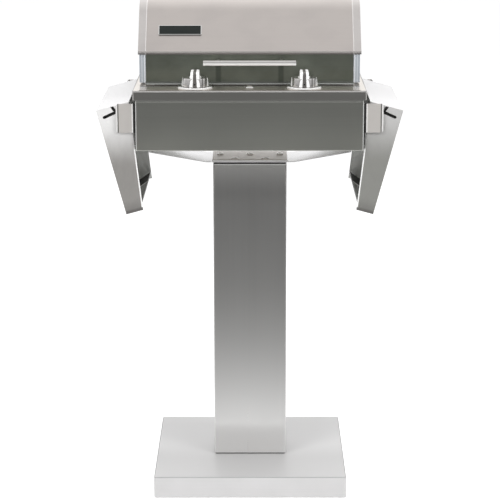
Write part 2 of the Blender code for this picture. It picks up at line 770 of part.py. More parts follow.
def build_housing():
    housing = folded_box(
        "housing_shell", (-HOUSING_SIDE, HOUSING_FRONT, HOUSING_FLOOR),
        (HOUSING_SIDE, HOUSING_REAR, HOUSING_TOP),
        [((0, 0, 1), HOUSING_LIP), ((0, 1, 0), HOUSING_LIP)], HOUSING_WALL, HOUSING_CORNER, "brushed")
    holes = bmesh.new()
    for x, y in cradle_screw_places():
        put_rod(
            holes, CAP_SCREW_RADIUS + SEAT_GAP, (x, y, HOUSING_FLOOR - CUT_MARGIN),
            (x, y, HOUSING_FLOOR_TOP + CUT_MARGIN), HOLE_SIDES)
    for (x, y, z), axis in bracket_screw_places():
        place, run = Vector((x, y, z)), Vector(axis) * CUT_MARGIN
        put_rod(holes, BRACKET_SCREW_RADIUS + SEAT_GAP, place + run, place - run, HOLE_SIDES)
    for x, z in rear_screw_places():
        put_rod(
            holes, REAR_SCREW_RADIUS + SEAT_GAP, (x, HOUSING_REAR - CUT_MARGIN, z),
            (x, HOUSING_REAR + CUT_MARGIN, z), HOLE_SIDES)
    cut(housing, holes)

    low_y = HOUSING_REAR + SEAT_GAP
    high_y = low_y + REAR_PANEL_THICKNESS
    bm = bmesh.new()
    put_box(
        bm, (-HOUSING_SIDE + REAR_PANEL_MARGIN, low_y, HOUSING_FLOOR + REAR_PANEL_MARGIN),
        (HOUSING_SIDE - REAR_PANEL_MARGIN, high_y, HOUSING_TOP - HOUSING_LIP / 4 - FASCIA_HEIGHT))
    panel = mesh_object("rear_panel", bm, "brushed")
    openings = bmesh.new()
    slot_half = TRAY_WIDTH / 2 + TRAY_SLOT_CLEARANCE
    put_box(
        openings, (-slot_half, low_y - CUT_MARGIN, TRAY_BOTTOM - TRAY_SLOT_CLEARANCE),
        (slot_half, high_y + CUT_MARGIN, TRAY_BOTTOM + TRAY_HEIGHT + TRAY_SLOT_CLEARANCE))
    for side in (-1, 0, 1):
        for row in range(VENT_ROWS):
            x = side * VENT_SPREAD
            z = VENT_CENTRE_Z + (row - (VENT_ROWS - 1) / 2) * VENT_PITCH
            put_box(
                openings, (x - VENT_LENGTH / 2, low_y - CUT_MARGIN, z - VENT_HEIGHT / 2),
                (x + VENT_LENGTH / 2, high_y + CUT_MARGIN, z + VENT_HEIGHT / 2))
    put_rod(
        openings, GLAND_RADIUS + SEAT_GAP, (GLAND_X, low_y - CUT_MARGIN, GLAND_Z),
        (GLAND_X, high_y + CUT_MARGIN, GLAND_Z), MIDDLE_SIDES)
    cut(panel, openings)
    add_fasteners(
        panel, headed(REAR_SCREW_HEAD_RADIUS, REAR_SCREW_HEAD_HEIGHT, REAR_SCREW_RADIUS, REAR_SCREW_LENGTH),
        [((x, high_y, z), (0, 1, 0)) for x, z in rear_screw_places()], HOLE_SIDES)

    build_gland(high_y)


def rear_screw_places():
    x = HOUSING_SIDE - HOUSING_LIP / 2 - REAR_PANEL_MARGIN / 2
    return [(side * x, HOUSING_FLOOR + rise) for side in (-1, 1) for rise in REAR_SCREW_RISES]


def build_gland(panel_rear):
    # Flange outside the panel and a threaded neck through it, bored for the lead.
    bore = LEAD_RADIUS + SEAT_GAP
    flange = SEAT_GAP
    profile = [
        (bore, GLAND_PROUD), (GLAND_RADIUS * 0.85, GLAND_PROUD), (GLAND_FLANGE_RADIUS, GLAND_PROUD * 0.55),
        (GLAND_FLANGE_RADIUS, flange), (GLAND_RADIUS, flange), (GLAND_RADIUS, -GLAND_NECK),
        (bore, -GLAND_NECK), (bore, GLAND_PROUD)]
    place = (GLAND_X, panel_rear, GLAND_Z)
    turned("cable_gland", profile, place, "rubber", axis=(0, 1, 0), sides=MIDDLE_SIDES)


# Top frame with its fascia, and the control panel on its ledge

def ledge_holes(bottom, top):
    bm = bmesh.new()
    for side in (-1, 1):
        place = (side * KNOB_X, KNOB_Y)
        put_rod(bm, SHAFT_RADIUS + RUNNING_GAP, (*place, bottom), (*place, top), SCREW_SIDES)
    put_rod(bm, LAMP_RADIUS + SEAT_GAP, (0.0, KNOB_Y, bottom), (0.0, KNOB_Y, top), MIDDLE_SIDES)
    return bm


def build_top_frame():
    frame = folded_box(
        "top_frame", (-FRAME_WIDTH / 2, FRAME_FRONT, LEDGE_HEIGHT - FASCIA_HEIGHT),
        (FRAME_WIDTH / 2, FRAME_REAR, LEDGE_HEIGHT),
        [((0, 0, -1), 0.0)], HOUSING_WALL, FRAME_CORNER, "brushed")
    openings = ledge_holes(FRAME_UNDERSIDE - CUT_MARGIN, LEDGE_HEIGHT + CUT_MARGIN)
    put_box(
        openings, (-TUB_WIDTH / 2, TUB_FRONT, FRAME_UNDERSIDE - CUT_MARGIN),
        (TUB_WIDTH / 2, TUB_REAR, LEDGE_HEIGHT + CUT_MARGIN))
    cut(frame, openings)

    panel = plain_box(
        "control_panel", (-PANEL_WIDTH / 2, PANEL_FRONT, LEDGE_HEIGHT + SEAT_GAP),
        (PANEL_WIDTH / 2, PANEL_REAR, PANEL_TOP), "satin")
    cut(panel, ledge_holes(LEDGE_HEIGHT - CUT_MARGIN, PANEL_TOP + CUT_MARGIN))


# Firebox

def build_tub():
    floor = TUB_FLOOR
    rim = FRAME_UNDERSIDE - SEAT_GAP - TUB_WALL
    bm = bmesh.new()
    put_box(
        bm, (-TUB_WIDTH / 2 - TUB_WALL, TUB_FRONT - TUB_WALL, floor),
        (TUB_WIDTH / 2 + TUB_WALL, TUB_REAR + TUB_WALL, rim))
    bm.normal_update()
    lower = [edge for edge in bm.edges if all(abs(v.co.z - floor) < 1e-6 for v in edge.verts)]
    round_edges(bm, edges_along(bm, 2) + lower, TUB_CORNER)
    open_face(bm, (0, 0, 1))
    rim_edges = [edge for edge in bm.edges if edge.is_boundary]
    flange = bmesh.ops.extrude_edge_only(bm, edges=rim_edges)["geom"]
    middle_y = (TUB_FRONT + TUB_REAR) / 2
    half_y = (TUB_REAR - TUB_FRONT) / 2 + TUB_WALL
    half_x = TUB_WIDTH / 2 + TUB_WALL
    for vert in (item for item in flange if isinstance(item, bmesh.types.BMVert)):
        vert.co.x *= (half_x + TUB_FLANGE) / half_x
        vert.co.y = middle_y + (vert.co.y - middle_y) * (half_y + TUB_FLANGE) / half_y
    tub = thicken(mesh_object("firebox_tub", bm, "brushed"), TUB_WALL)
    holes = bmesh.new()
    put_box(
        holes, (-DRAIN_LENGTH / 2, middle_y - DRAIN_WIDTH / 2, floor - CUT_MARGIN),
        (DRAIN_LENGTH / 2, middle_y + DRAIN_WIDTH / 2, floor + CUT_MARGIN))
    for x in element_tails(-1) + element_tails(1):
        put_rod(
            holes, ELEMENT_RADIUS + SEAT_GAP, (x, TUB_FRONT - CUT_MARGIN, ELEMENT_Z),
            (x, TUB_FRONT + CUT_MARGIN, ELEMENT_Z))
    cut(tub, holes)


def element_tails(side):
    return [side * ELEMENT_CENTRE_X + step * ELEMENT_TAIL_PITCH / 2 for step in (-1, 1)]


def element_route(side):
    # Four legs joined by half turns. The two outer legs bend inwards to a pair of tails at the front.
    pitch = ELEMENT_LEG_PITCH
    turn = pitch / 2
    near = TUB_FRONT + ELEMENT_FRONT_CLEARANCE
    far = TUB_REAR - ELEMENT_REAR_CLEARANCE + turn
    tail_x = ELEMENT_TAIL_PITCH / 2
    tail_y = TUB_FRONT - TUB_WALL - TERMINAL_BLOCK_DEPTH - ELEMENT_TAIL
    half = [
        (tail_x, tail_y), (tail_x, near), (1.5 * pitch, near), (1.5 * pitch, far), (0.5 * pitch, far),
        (0.5 * pitch, near + pitch), (0.0, near + pitch)]
    bends = [ELEMENT_BEND * 0.8, ELEMENT_BEND, turn * 0.98, turn * 0.98, turn * 0.95]
    outer = filleted(half, bends)
    route = outer + [Vector((-point.x, point.y)) for point in reversed(outer[:-1])]
    return [(side * (ELEMENT_CENTRE_X + point.x), point.y, ELEMENT_Z) for point in route]


def tube(name, points, radius, finish):
    curve = bpy.data.curves.new(name, "CURVE")
    curve.dimensions = "3D"
    curve.bevel_depth = radius
    curve.bevel_resolution = 1
    curve.use_fill_caps = True
    spline = curve.splines.new("POLY")
    spline.points.add(len(points) - 1)
    for point, place in zip(spline.points, points):
        point.co = (*place, 1.0)
    obj = bpy.data.objects.new(name, curve)
    PARTS.objects.link(obj)
    curve.materials.append(make_material(name, finish))
    weld = obj.modifiers.new("caps", "WELD")
    weld.merge_threshold = 0.00001
    return obj


def build_firebox():
    build_tub()
    middle_y = (TUB_FRONT + TUB_REAR) / 2

    reflector_foot = TUB_FLOOR + TUB_WALL + SEAT_GAP
    half = REFLECTOR_WIDTH / 2
    line = filleted(
        [(-half, reflector_foot), (-half, REFLECTOR_TOP), (half, REFLECTOR_TOP), (half, reflector_foot)],
        [SMALL_BEND, SMALL_BEND])
    reflector = bent_sheet(
        "heat_reflector", line, "XZ", TUB_FRONT + REFLECTOR_END_CLEARANCE, TUB_REAR - REFLECTOR_END_CLEARANCE,
        TUB_WALL, "polished")
    bars = bmesh.new()
    for y in (middle_y - SUPPORT_SPREAD / 2, middle_y + SUPPORT_SPREAD / 2):
        put_box(
            bars, (-SUPPORT_LENGTH / 2, y - SUPPORT_THICKNESS / 2, REFLECTOR_TOP - TUB_WALL / 2),
            (SUPPORT_LENGTH / 2, y + SUPPORT_THICKNESS / 2, ELEMENT_Z - ELEMENT_RADIUS - SEAT_GAP))
    join(reflector, bars)
    slot = bmesh.new()
    put_box(
        slot, (-DRAIN_LENGTH / 2, middle_y - DRAIN_WIDTH / 2, REFLECTOR_TOP - CUT_MARGIN),
        (DRAIN_LENGTH / 2, middle_y + DRAIN_WIDTH / 2, REFLECTOR_TOP + CUT_MARGIN))
    cut(reflector, slot)

    block_rear = TUB_FRONT - TUB_WALL - SEAT_GAP
    for name, side in (("left", -1), ("right", 1)):
        tube("heating_element_" + name, element_route(side), ELEMENT_RADIUS, "dark_steel")
        tails = element_tails(side)
        block = plain_box(
            "terminal_block_" + name,
            (min(tails) - TERMINAL_BLOCK_MARGIN, block_rear - TERMINAL_BLOCK_DEPTH,
             ELEMENT_Z - TERMINAL_BLOCK_HEIGHT / 2),
            (max(tails) + TERMINAL_BLOCK_MARGIN, block_rear, ELEMENT_Z + TERMINAL_BLOCK_HEIGHT / 2),
            "ceramic")
        bores = bmesh.new()
        for x in tails:
            put_rod(
                bores, ELEMENT_RADIUS + SEAT_GAP,
                (x, block_rear - TERMINAL_BLOCK_DEPTH - CUT_MARGIN, ELEMENT_Z),
                (x, block_rear + CUT_MARGIN, ELEMENT_Z))
        cut(block, bores)

    build_grates()

    foot_z = LEDGE_HEIGHT + SEAT_GAP
    baffle_y = TUB_REAR + BAFFLE_REAR_GAP
    half = TUB_WIDTH / 2 - BAFFLE_END_GAP
    line = filleted(
        [(baffle_y + BAFFLE_FOOT, foot_z), (baffle_y, foot_z), (baffle_y, foot_z + BAFFLE_HEIGHT)],
        [SMALL_BEND])
    bent_sheet("rear_baffle", line, "YZ", -half, half, BAFFLE_WALL, "brushed")


def build_grates():
    front = TUB_FRONT + GRATE_END_CLEARANCE
    rear = TUB_REAR - GRATE_END_CLEARANCE
    cross_inset = GRATE_CROSS_WIDTH / 2 + GRATE_CROSS_INSET
    half_width = (GRATE_RODS - 1) / 2 * GRATE_ROD_PITCH
    centre_x = GRATE_MIDDLE_GAP / 2 + half_width + GRATE_ROD_RADIUS
    rods = bmesh.new()
    for index in range(GRATE_RODS):
        x = centre_x - half_width + index * GRATE_ROD_PITCH
        put_rod(rods, GRATE_ROD_RADIUS, (x, front, GRATE_ROD_Z), (x, rear, GRATE_ROD_Z), 6)
    crosses = bmesh.new()
    reach = half_width + GRATE_ROD_RADIUS * 0.6
    for y in (front + cross_inset, (front + rear) / 2, rear - cross_inset):
        put_box(
            crosses, (centre_x - reach, y - GRATE_CROSS_WIDTH / 2, GRATE_SEAT),
            (centre_x + reach, y + GRATE_CROSS_WIDTH / 2, GRATE_CROSS_TOP))
    right = mesh_object("cooking_grate_right", rods, "dark_steel", smooth=True)
    join(right, crosses)
    mirrored(right, "cooking_grate_left", "dark_steel")

    seat = GRATE_SEAT - SEAT_GAP
    half = TUB_WIDTH / 2 - TUB_CORNER
    front_wall = TUB_FRONT + SEAT_GAP
    line = filleted(
        [(front_wall, seat - GRATE_RAIL_DROP), (front_wall, seat), (front_wall + GRATE_RAIL_WIDTH, seat)],
        [SMALL_BEND])
    front_rail = bent_sheet("grate_rail_front", line, "YZ", -half, half, GRATE_RAIL_WALL, "brushed")
    mesh = evaluated_mesh(front_rail)
    middle = Matrix.Translation((0.0, (TUB_FRONT + TUB_REAR) / 2, 0.0))
    mesh.transform(middle @ Matrix.Diagonal((1.0, -1.0, 1.0, 1.0)) @ middle.inverted())
    mesh.flip_normals()
    mesh.materials.clear()
    finish_object("grate_rail_rear", mesh, "brushed")


# Knobs, controls and pilot lamp

def build_controls():
    for name, side in (("left", -1), ("right", 1)):
        x = side * KNOB_X
        build_bezel("knob_bezel_" + name, x)
        build_control("control_" + name, x)
        pivot = pivot_at("knob_axis_" + name, (x, KNOB_Y, KNOB_BOTTOM))
        hang_on(build_knob("knob_" + name, x), pivot)
        hang_on(build_shaft("knob_shaft_" + name, x), pivot)

    seat = PANEL_TOP + SEAT_GAP
    bore = LAMP_RADIUS + SEAT_GAP
    ring = [
        (bore, LAMP_BEZEL_HEIGHT * 0.7), (bore + LAMP_BEZEL_EDGE, LAMP_BEZEL_HEIGHT),
        (LAMP_BEZEL_RADIUS - 2 * LAMP_BEZEL_EDGE, LAMP_BEZEL_HEIGHT),
        (LAMP_BEZEL_RADIUS, LAMP_BEZEL_HEIGHT * 0.4),
        (LAMP_BEZEL_RADIUS, 0.0), (bore, 0.0), (bore, LAMP_BEZEL_HEIGHT * 0.7)]
    turned("lamp_bezel", ring, (0.0, KNOB_Y, seat), "polished", sides=MIDDLE_SIDES)
    lens = [
        (0.0, LAMP_LENS_HEIGHT), (LAMP_RADIUS * 0.55, LAMP_LENS_HEIGHT * 0.9),
        (LAMP_RADIUS, LAMP_LENS_HEIGHT * 0.6),
        (LAMP_RADIUS, -LAMP_BODY_LENGTH), (0.0, -LAMP_BODY_LENGTH)]
    turned("pilot_lamp", lens, (0.0, KNOB_Y, seat), "lens", sides=MIDDLE_SIDES)


def build_bezel(name, x):
    bore = SHAFT_RADIUS + RUNNING_GAP
    profile = [
        (bore, BEZEL_HEIGHT), (BEZEL_RADIUS * 0.80, BEZEL_HEIGHT), (BEZEL_RADIUS * 0.94, BEZEL_HEIGHT * 0.85),
        (BEZEL_RADIUS, BEZEL_HEIGHT * 0.4), (BEZEL_RADIUS, 0.0), (bore, 0.0), (bore, BEZEL_HEIGHT)]
    return turned(name, profile, (x, KNOB_Y, PANEL_TOP + SEAT_GAP), "polished")


def build_knob(name, x):
    height = KNOB_SKIRT_TOP - KNOB_BOTTOM
    profile = [
        (0.0, height - KNOB_DISH), (KNOB_RIM_RADIUS * 0.80, height - KNOB_DISH),
        (KNOB_RIM_RADIUS * 0.88, height - KNOB_DISH * 0.4), (KNOB_RIM_RADIUS * 0.93, height),
        (KNOB_RIM_RADIUS * 0.98, height - KNOB_EDGE / 4), (KNOB_RIM_RADIUS, height - KNOB_EDGE),
        (KNOB_BASE_RADIUS * 0.955, height * 0.45), (KNOB_BASE_RADIUS, KNOB_EDGE),
        (KNOB_BASE_RADIUS * 0.985, 0.0), (0.0, 0.0)]
    knob = turned(name, profile, (x, KNOB_Y, KNOB_BOTTOM), "polished")

    fin = bmesh.new()
    bottom = KNOB_BOTTOM + height * 0.15
    verts = put_box(
        fin, (x - KNOB_FIN_BASE_WIDTH / 2, KNOB_Y - KNOB_FIN_LENGTH / 2, bottom),
        (x + KNOB_FIN_BASE_WIDTH / 2, KNOB_Y + KNOB_FIN_LENGTH / 2, KNOB_FIN_TOP))
    for vert in verts:
        if vert.co.z > bottom + KNOB_EDGE:
            vert.co.x = x + (vert.co.x - x) * KNOB_FIN_TOP_WIDTH / KNOB_FIN_BASE_WIDTH
            vert.co.y = KNOB_Y + (vert.co.y - KNOB_Y) * KNOB_FIN_TOP_LENGTH / KNOB_FIN_LENGTH
    round_edges(fin, fin.edges, KNOB_FIN_ROUND, 2)
    join(knob, fin)

    holes = bmesh.new()
    put_rod(
        holes, SHAFT_RADIUS + SEAT_GAP, (x, KNOB_Y, KNOB_BOTTOM - CUT_MARGIN),
        (x, KNOB_Y, KNOB_BOTTOM + KNOB_BORE_DEPTH))
    mark_z = KNOB_BOTTOM + height * 0.42
    front = KNOB_Y - KNOB_FIN_LENGTH / 2
    put_rod(
        holes, KNOB_MARK_RADIUS, (x, front - CUT_MARGIN, mark_z), (x, front + KNOB_MARK_DEPTH, mark_z),
        SCREW_SIDES)
    return cut(knob, holes)


def build_shaft(name, x):
    bm = bmesh.new()
    top = KNOB_BOTTOM + KNOB_BORE_DEPTH - SEAT_GAP
    put_rod(bm, SHAFT_RADIUS, (x, KNOB_Y, FRAME_UNDERSIDE - SHAFT_DEPTH_IN_CONTROL), (x, KNOB_Y, top))
    return mesh_object(name, bm, "dark_steel", smooth=True)


def build_control(name, x):
    top = FRAME_UNDERSIDE - SEAT_GAP
    half = CONTROL_WIDTH / 2
    control = plain_box(
        name, (x - half, KNOB_Y - half, top - CONTROL_HEIGHT), (x + half, KNOB_Y + half, top), "black",
        CONTROL_CORNER)
    tabs = bmesh.new()
    for step in (-1, 0, 1):
        centre = x + step * CONTROL_TAB_PITCH
        put_box(
            tabs,
            (centre - CONTROL_TAB_THICKNESS / 2, KNOB_Y - CONTROL_TAB_WIDTH / 2,
             top - CONTROL_HEIGHT - CONTROL_TAB_LENGTH),
            (centre + CONTROL_TAB_THICKNESS / 2, KNOB_Y + CONTROL_TAB_WIDTH / 2,
             top - CONTROL_HEIGHT + FUSE_OVERLAP))
    join(control, tabs)
    bore = bmesh.new()
    bottom = FRAME_UNDERSIDE - SHAFT_DEPTH_IN_CONTROL - RUNNING_GAP
    put_rod(bore, SHAFT_RADIUS + RUNNING_GAP, (x, KNOB_Y, bottom), (x, KNOB_Y, top + CUT_MARGIN))
    return cut(control, bore)


# Hood, which turns on the hinge pins

def hood_corners():
    # Outer line of the hood skin in the YZ plane: lip, slope, top and rear, from front to back.
    front = HOOD_FRONT - HOOD_SHEET - SEAT_GAP
    top_front = front + (HOOD_TOP - HOOD_BEND_Z) / math.tan(HOOD_SLOPE)
    return [
        (front, HOOD_BEND_Z - HOOD_LIP), (front, HOOD_BEND_Z), (top_front, HOOD_TOP), (HOOD_REAR, HOOD_TOP),
        (HOOD_REAR, HOOD_REAR_EDGE)]


def build_hood():
    pivot = pivot_at("hood_hinge_axis", (0.0, HINGE_Y, HINGE_Z))
    corners = hood_corners()
    skin = bent_sheet(
        "hood_skin", filleted(corners, [HOOD_BEND_RADIUS, HOOD_TOP_RADIUS, HOOD_REAR_RADIUS]), "YZ",
        -HOOD_WIDTH / 2, HOOD_WIDTH / 2, HOOD_SHEET, "satin")
    hang_on(skin, pivot)

    half = HOOD_SIDE - HOOD_END_FLANGE
    inside = HOOD_FRONT + HOOD_HEM
    top = HOOD_BEND_Z - HOOD_FRONT_TOP_GAP
    front_line = filleted(
        [(inside, HOOD_FRONT_BOTTOM), (HOOD_FRONT, HOOD_FRONT_BOTTOM), (HOOD_FRONT, top), (inside, top)],
        [HOOD_FRONT_BEND, HOOD_FRONT_BEND])
    front = bent_sheet("hood_front", front_line, "YZ", -half, half, HOOD_SHEET, "brushed")
    holes = bmesh.new()
    for side in (-1, 1):
        x = side * HANDLE_POST_X
        put_rod(
            holes, HANDLE_SCREW_RADIUS + SEAT_GAP, (x, HOOD_FRONT - CUT_MARGIN, HANDLE_Z),
            (x, HOOD_FRONT + CUT_MARGIN, HANDLE_Z), HOLE_SIDES)
    hang_on(cut(front, holes), pivot)

    right = build_hood_end(corners)
    hang_on(mirrored(right, "hood_end_left", "brushed"), pivot)
    hang_on(right, pivot)

    build_handle(pivot)
    hang_on(build_badge(corners), pivot)


def build_hood_end(corners):
    inset = HOOD_SHEET + SEAT_GAP
    inner = offset_line(corners, inset)
    rim = filleted(inner, [HOOD_BEND_RADIUS - inset, HOOD_TOP_RADIUS - inset, HOOD_REAR_RADIUS - inset])
    radius = rim[-1].x - HINGE_Y
    outline = [Vector((HOOD_FRONT, HOOD_BOTTOM))] + [Vector((max(p.x, HOOD_FRONT), p.y)) for p in rim[1:-1]]
    for step in range(7):
        angle = -math.pi / 2 * step / 6
        outline.append(Vector((HINGE_Y + radius * math.cos(angle), HINGE_Z + radius * math.sin(angle))))
    outline.append(Vector((HINGE_Y - HOOD_END_FOOT_RUN, HOOD_BOTTOM)))

    bm = bmesh.new()
    verts = [bm.verts.new((HOOD_SIDE, point.x, point.y)) for point in outline]
    face = bm.faces.new(verts)
    bm.normal_update()
    if face.normal.x < 0.0:
        bmesh.ops.reverse_faces(bm, faces=[face])
    front_edge = bm.edges.get((verts[0], verts[1]))
    flange = bmesh.ops.extrude_edge_only(bm, edges=[front_edge])["geom"]
    moved = [item for item in flange if isinstance(item, bmesh.types.BMVert)]
    bmesh.ops.translate(bm, vec=(-(HOOD_END_FLANGE - SEAT_GAP), 0.0, 0.0), verts=moved)
    end = thicken(mesh_object("hood_end_right", bm, "brushed"), HOOD_SHEET)
    hole = bmesh.new()
    put_rod(
        hole, HINGE_PIN_RADIUS + SEAT_GAP, (HOOD_SIDE - CUT_MARGIN, HINGE_Y, HINGE_Z),
        (HOOD_SIDE + CUT_MARGIN, HINGE_Y, HINGE_Z), SCREW_SIDES)
    return cut(end, hole)


def build_handle(pivot):
    bar = bmesh.new()
    half = HANDLE_LENGTH / 2
    put_rod(bar, HANDLE_RADIUS, (-half, HANDLE_Y, HANDLE_Z), (half, HANDLE_Y, HANDLE_Z), FINE_SIDES)
    ends = [edge for edge in bar.edges if abs(edge.verts[0].co.x - edge.verts[1].co.x) < 1e-6]
    round_edges(bar, ends, HANDLE_END_ROUND, 2)
    hang_on(mesh_object("handle_bar", bar, "polished", smooth=True), pivot)

    # Each post is drawn to the hood front by a screw from inside, and the two are one solid.
    seat = HOOD_FRONT + HOOD_SHEET + SEAT_GAP
    for name, side in (("left", -1), ("right", 1)):
        x = side * HANDLE_POST_X
        bm = bmesh.new()
        put_rod(
            bm, HANDLE_POST_RADIUS, (x, HANDLE_Y, HANDLE_Z), (x, HOOD_FRONT - SEAT_GAP, HANDLE_Z),
            MIDDLE_SIDES)
        post = mesh_object("handle_post_" + name, bm, "polished", smooth=True)
        saddle = bmesh.new()
        put_rod(
            saddle, HANDLE_RADIUS + SEAT_GAP, (x - 2 * HANDLE_POST_RADIUS, HANDLE_Y, HANDLE_Z),
            (x + 2 * HANDLE_POST_RADIUS, HANDLE_Y, HANDLE_Z), FINE_SIDES)
        cut(post, saddle)
        add_fasteners(
            post,
            headed(HANDLE_SCREW_HEAD_RADIUS, HANDLE_SCREW_HEAD_HEIGHT, HANDLE_SCREW_RADIUS,
                   seat - HOOD_FRONT + HANDLE_SCREW_REACH, 0.0),
            [((x, seat, HANDLE_Z), (0, 1, 0))], HOLE_SIDES)
        hang_on(post, pivot)


def build_badge(corners):
    bm = bmesh.new()
    half_width, half_height = BADGE_WIDTH / 2, BADGE_HEIGHT / 2
    put_box(bm, (-half_width, -half_height, 0.0), (half_width, half_height, BADGE_THICKNESS))
    bm.normal_update()
    top = max(bm.faces, key=lambda item: item.normal.z)
    bmesh.ops.inset_region(bm, faces=[top], thickness=BADGE_RIM, use_even_offset=True)
    sunk = bmesh.ops.extrude_face_region(bm, geom=[top])["geom"]
    moved = [item for item in sunk if isinstance(item, bmesh.types.BMVert)]
    bmesh.ops.translate(bm, vec=(0.0, 0.0, -BADGE_RECESS), verts=moved)
    bmesh.ops.delete(bm, geom=[top], context="FACES_ONLY")
    bmesh.ops.recalc_face_normals(bm, faces=bm.faces)
    badge = mesh_object("name_plate", bm, "black")
    bend = Vector(corners[1])
    slope = Vector((math.cos(HOOD_SLOPE), math.sin(HOOD_SLOPE)))
    outward = Vector((-slope.y, slope.x))
    place = bend + slope * BADGE_UP_SLOPE + outward * SEAT_GAP
    badge.rotation_euler = (HOOD_SLOPE, 0.0, 0.0)
    badge.location = (BADGE_X, place.x, place.y)
    bpy.context.view_layer.update()
    return badge


def build_hinges():
    # Two brackets on the frame carry the pins that pass through the hood ends.
    outer = HOOD_SIDE - HOOD_SHEET - HINGE_SIDE_GAP
    foot = LEDGE_HEIGHT + SEAT_GAP
    top = HINGE_Z + HINGE_BRACKET_TOP_RADIUS
    line = filleted([(outer - HINGE_BRACKET_FOOT, foot), (outer, foot), (outer, top)], [SMALL_BEND])
    half = HINGE_BRACKET_WIDTH / 2
    surface = bent_surface(line, "XZ", HINGE_Y - half, HINGE_Y + half, metal_right=False)
    corners = [vert for vert in surface.verts if abs(vert.co.z - top) < 1e-6]
    round_corners(surface, corners, HINGE_BRACKET_TOP_RADIUS * 0.95)
    right = thicken(mesh_object("hinge_bracket_right", surface, "brushed"), HINGE_BRACKET_WALL)
    hole = bmesh.new()
    put_rod(
        hole, HINGE_PIN_RADIUS + SEAT_GAP, (outer - CUT_MARGIN, HINGE_Y, HINGE_Z),
        (outer + CUT_MARGIN, HINGE_Y, HINGE_Z))
    cut(right, hole)
    mirrored(right, "hinge_bracket_left", "brushed")

    head = HOOD_SIDE + SEAT_GAP
    inner_end = outer - HINGE_BRACKET_WALL - HINGE_PIN_TAIL
    pin = headed(HINGE_PIN_HEAD_RADIUS, HINGE_PIN_HEAD_HEIGHT, HINGE_PIN_RADIUS, head - inner_end, 0.0)
    for name, side in (("left", -1), ("right", 1)):
        place = (side * head, HINGE_Y, HINGE_Z)
        turned("hinge_pin_" + name, pin, place, "polished", (side, 0, 0), SCREW_SIDES)

    # The hood front rests on a strip behind the ledge.
    plain_box(
        "hood_rest_strip", (-HOOD_REST_LENGTH / 2, HOOD_FRONT + SEAT_GAP, LEDGE_HEIGHT + SEAT_GAP),
        (HOOD_REST_LENGTH / 2, TUB_FRONT - SEAT_GAP, HOOD_FRONT_BOTTOM - SEAT_GAP), "rubber")


# Side shelves, modelled level about their pivot and then turned down to hang

def build_shelf_left():
    inner = SHELF_PIVOT_IN
    outer = inner - SHELF_LENGTH
    rise = LEDGE_HEIGHT - SHELF_PIVOT_Z
    half = SHELF_DEPTH / 2
    bm = bmesh.new()
    verts = put_box(bm, (outer, -half, rise - SHELF_INNER_FLANGE), (inner, half, rise))
    for vert in verts:
        if vert.co.x < 0.0 and vert.co.z < rise - 0.001:
            vert.co.z = rise - SHELF_OUTER_FLANGE
    open_face(bm, (0, 0, -1))
    open_face(bm, (-1, 0, 0))
    outer_edge = next(edge for edge in bm.edges if all(
        abs(vert.co.x - outer) < 1e-6 and abs(vert.co.z - rise) < 1e-6 for vert in edge.verts))
    lip = bmesh.ops.extrude_edge_only(bm, edges=[outer_edge])["geom"]
    for vert in (item for item in lip if isinstance(item, bmesh.types.BMVert)):
        vert.co.x = outer + SHELF_END_LIP * math.sin(SHELF_END_LIP_LEAN)
        vert.co.z = rise - SHELF_END_LIP * math.cos(SHELF_END_LIP_LEAN)
        vert.co.y = math.copysign(half - SHELF_WALL - SHELF_END_LIP_CLEARANCE, vert.co.y)
    bmesh.ops.recalc_face_normals(bm, faces=bm.faces)
    top = max(bm.faces, key=lambda item: abs(item.normal.z) * item.calc_area())
    if top.normal.z < 0.0:
        bmesh.ops.reverse_faces(bm, faces=bm.faces)
    shelf = thicken(mesh_object("shelf_left", bm, "brushed"), SHELF_WALL)

    slots = bmesh.new()
    for side in (-1, 1):
        near, far = sorted((side * (half - CUT_MARGIN), side * (half + CUT_MARGIN)))
        capsule(slots, (0.0, 0.0), (-SLOT_DRIFT, SLOT_RISE), SLOT_RADIUS, near, far)
    cut(shelf, slots)
    mouths = bmesh.new()
    for side in (-1, 1):
        near, far = sorted((side * (half - CUT_MARGIN), side * (half + CUT_MARGIN)))
        capsule(mouths, (0.0, SLOT_MOUTH_START), (SLOT_MOUTH_IN, SLOT_MOUTH_RISE), SLOT_RADIUS, near, far)
    cut(shelf, mouths)
    return shelf


def place_shelf(shelf, side):
    pivot = pivot_at(shelf.name + "_axis", (side * SHELF_PIVOT_X, 0.0, SHELF_PIVOT_Z))
    shelf.parent = pivot
    shelf.rotation_euler = (0.0, side * SHELF_FOLD, 0.0)


def build_shelves():
    left = build_shelf_left()
    right = mirrored(left, "shelf_right", "brushed")
    place_shelf(left, -1)
    place_shelf(right, 1)
    for cutter in [item for item in CUTTERS.objects if item.name.startswith("shelf_left")]:
        cutter.parent = left


def bracket_screw_places():
    x = HOUSING_SIDE + SEAT_GAP + BRACKET_WALL + SEAT_GAP
    z_low = BRACKET_BOTTOM + BRACKET_SCREW_INSET
    z_high = BRACKET_TOP - BRACKET_SCREW_INSET
    y = BRACKET_FRONT - BRACKET_LEG_DEPTH + BRACKET_SCREW_INSET
    return [
        ((side * x, end * y, z), (side, 0, 0))
        for side in (-1, 1) for end in (-1, 1) for z in (z_low, z_high)]


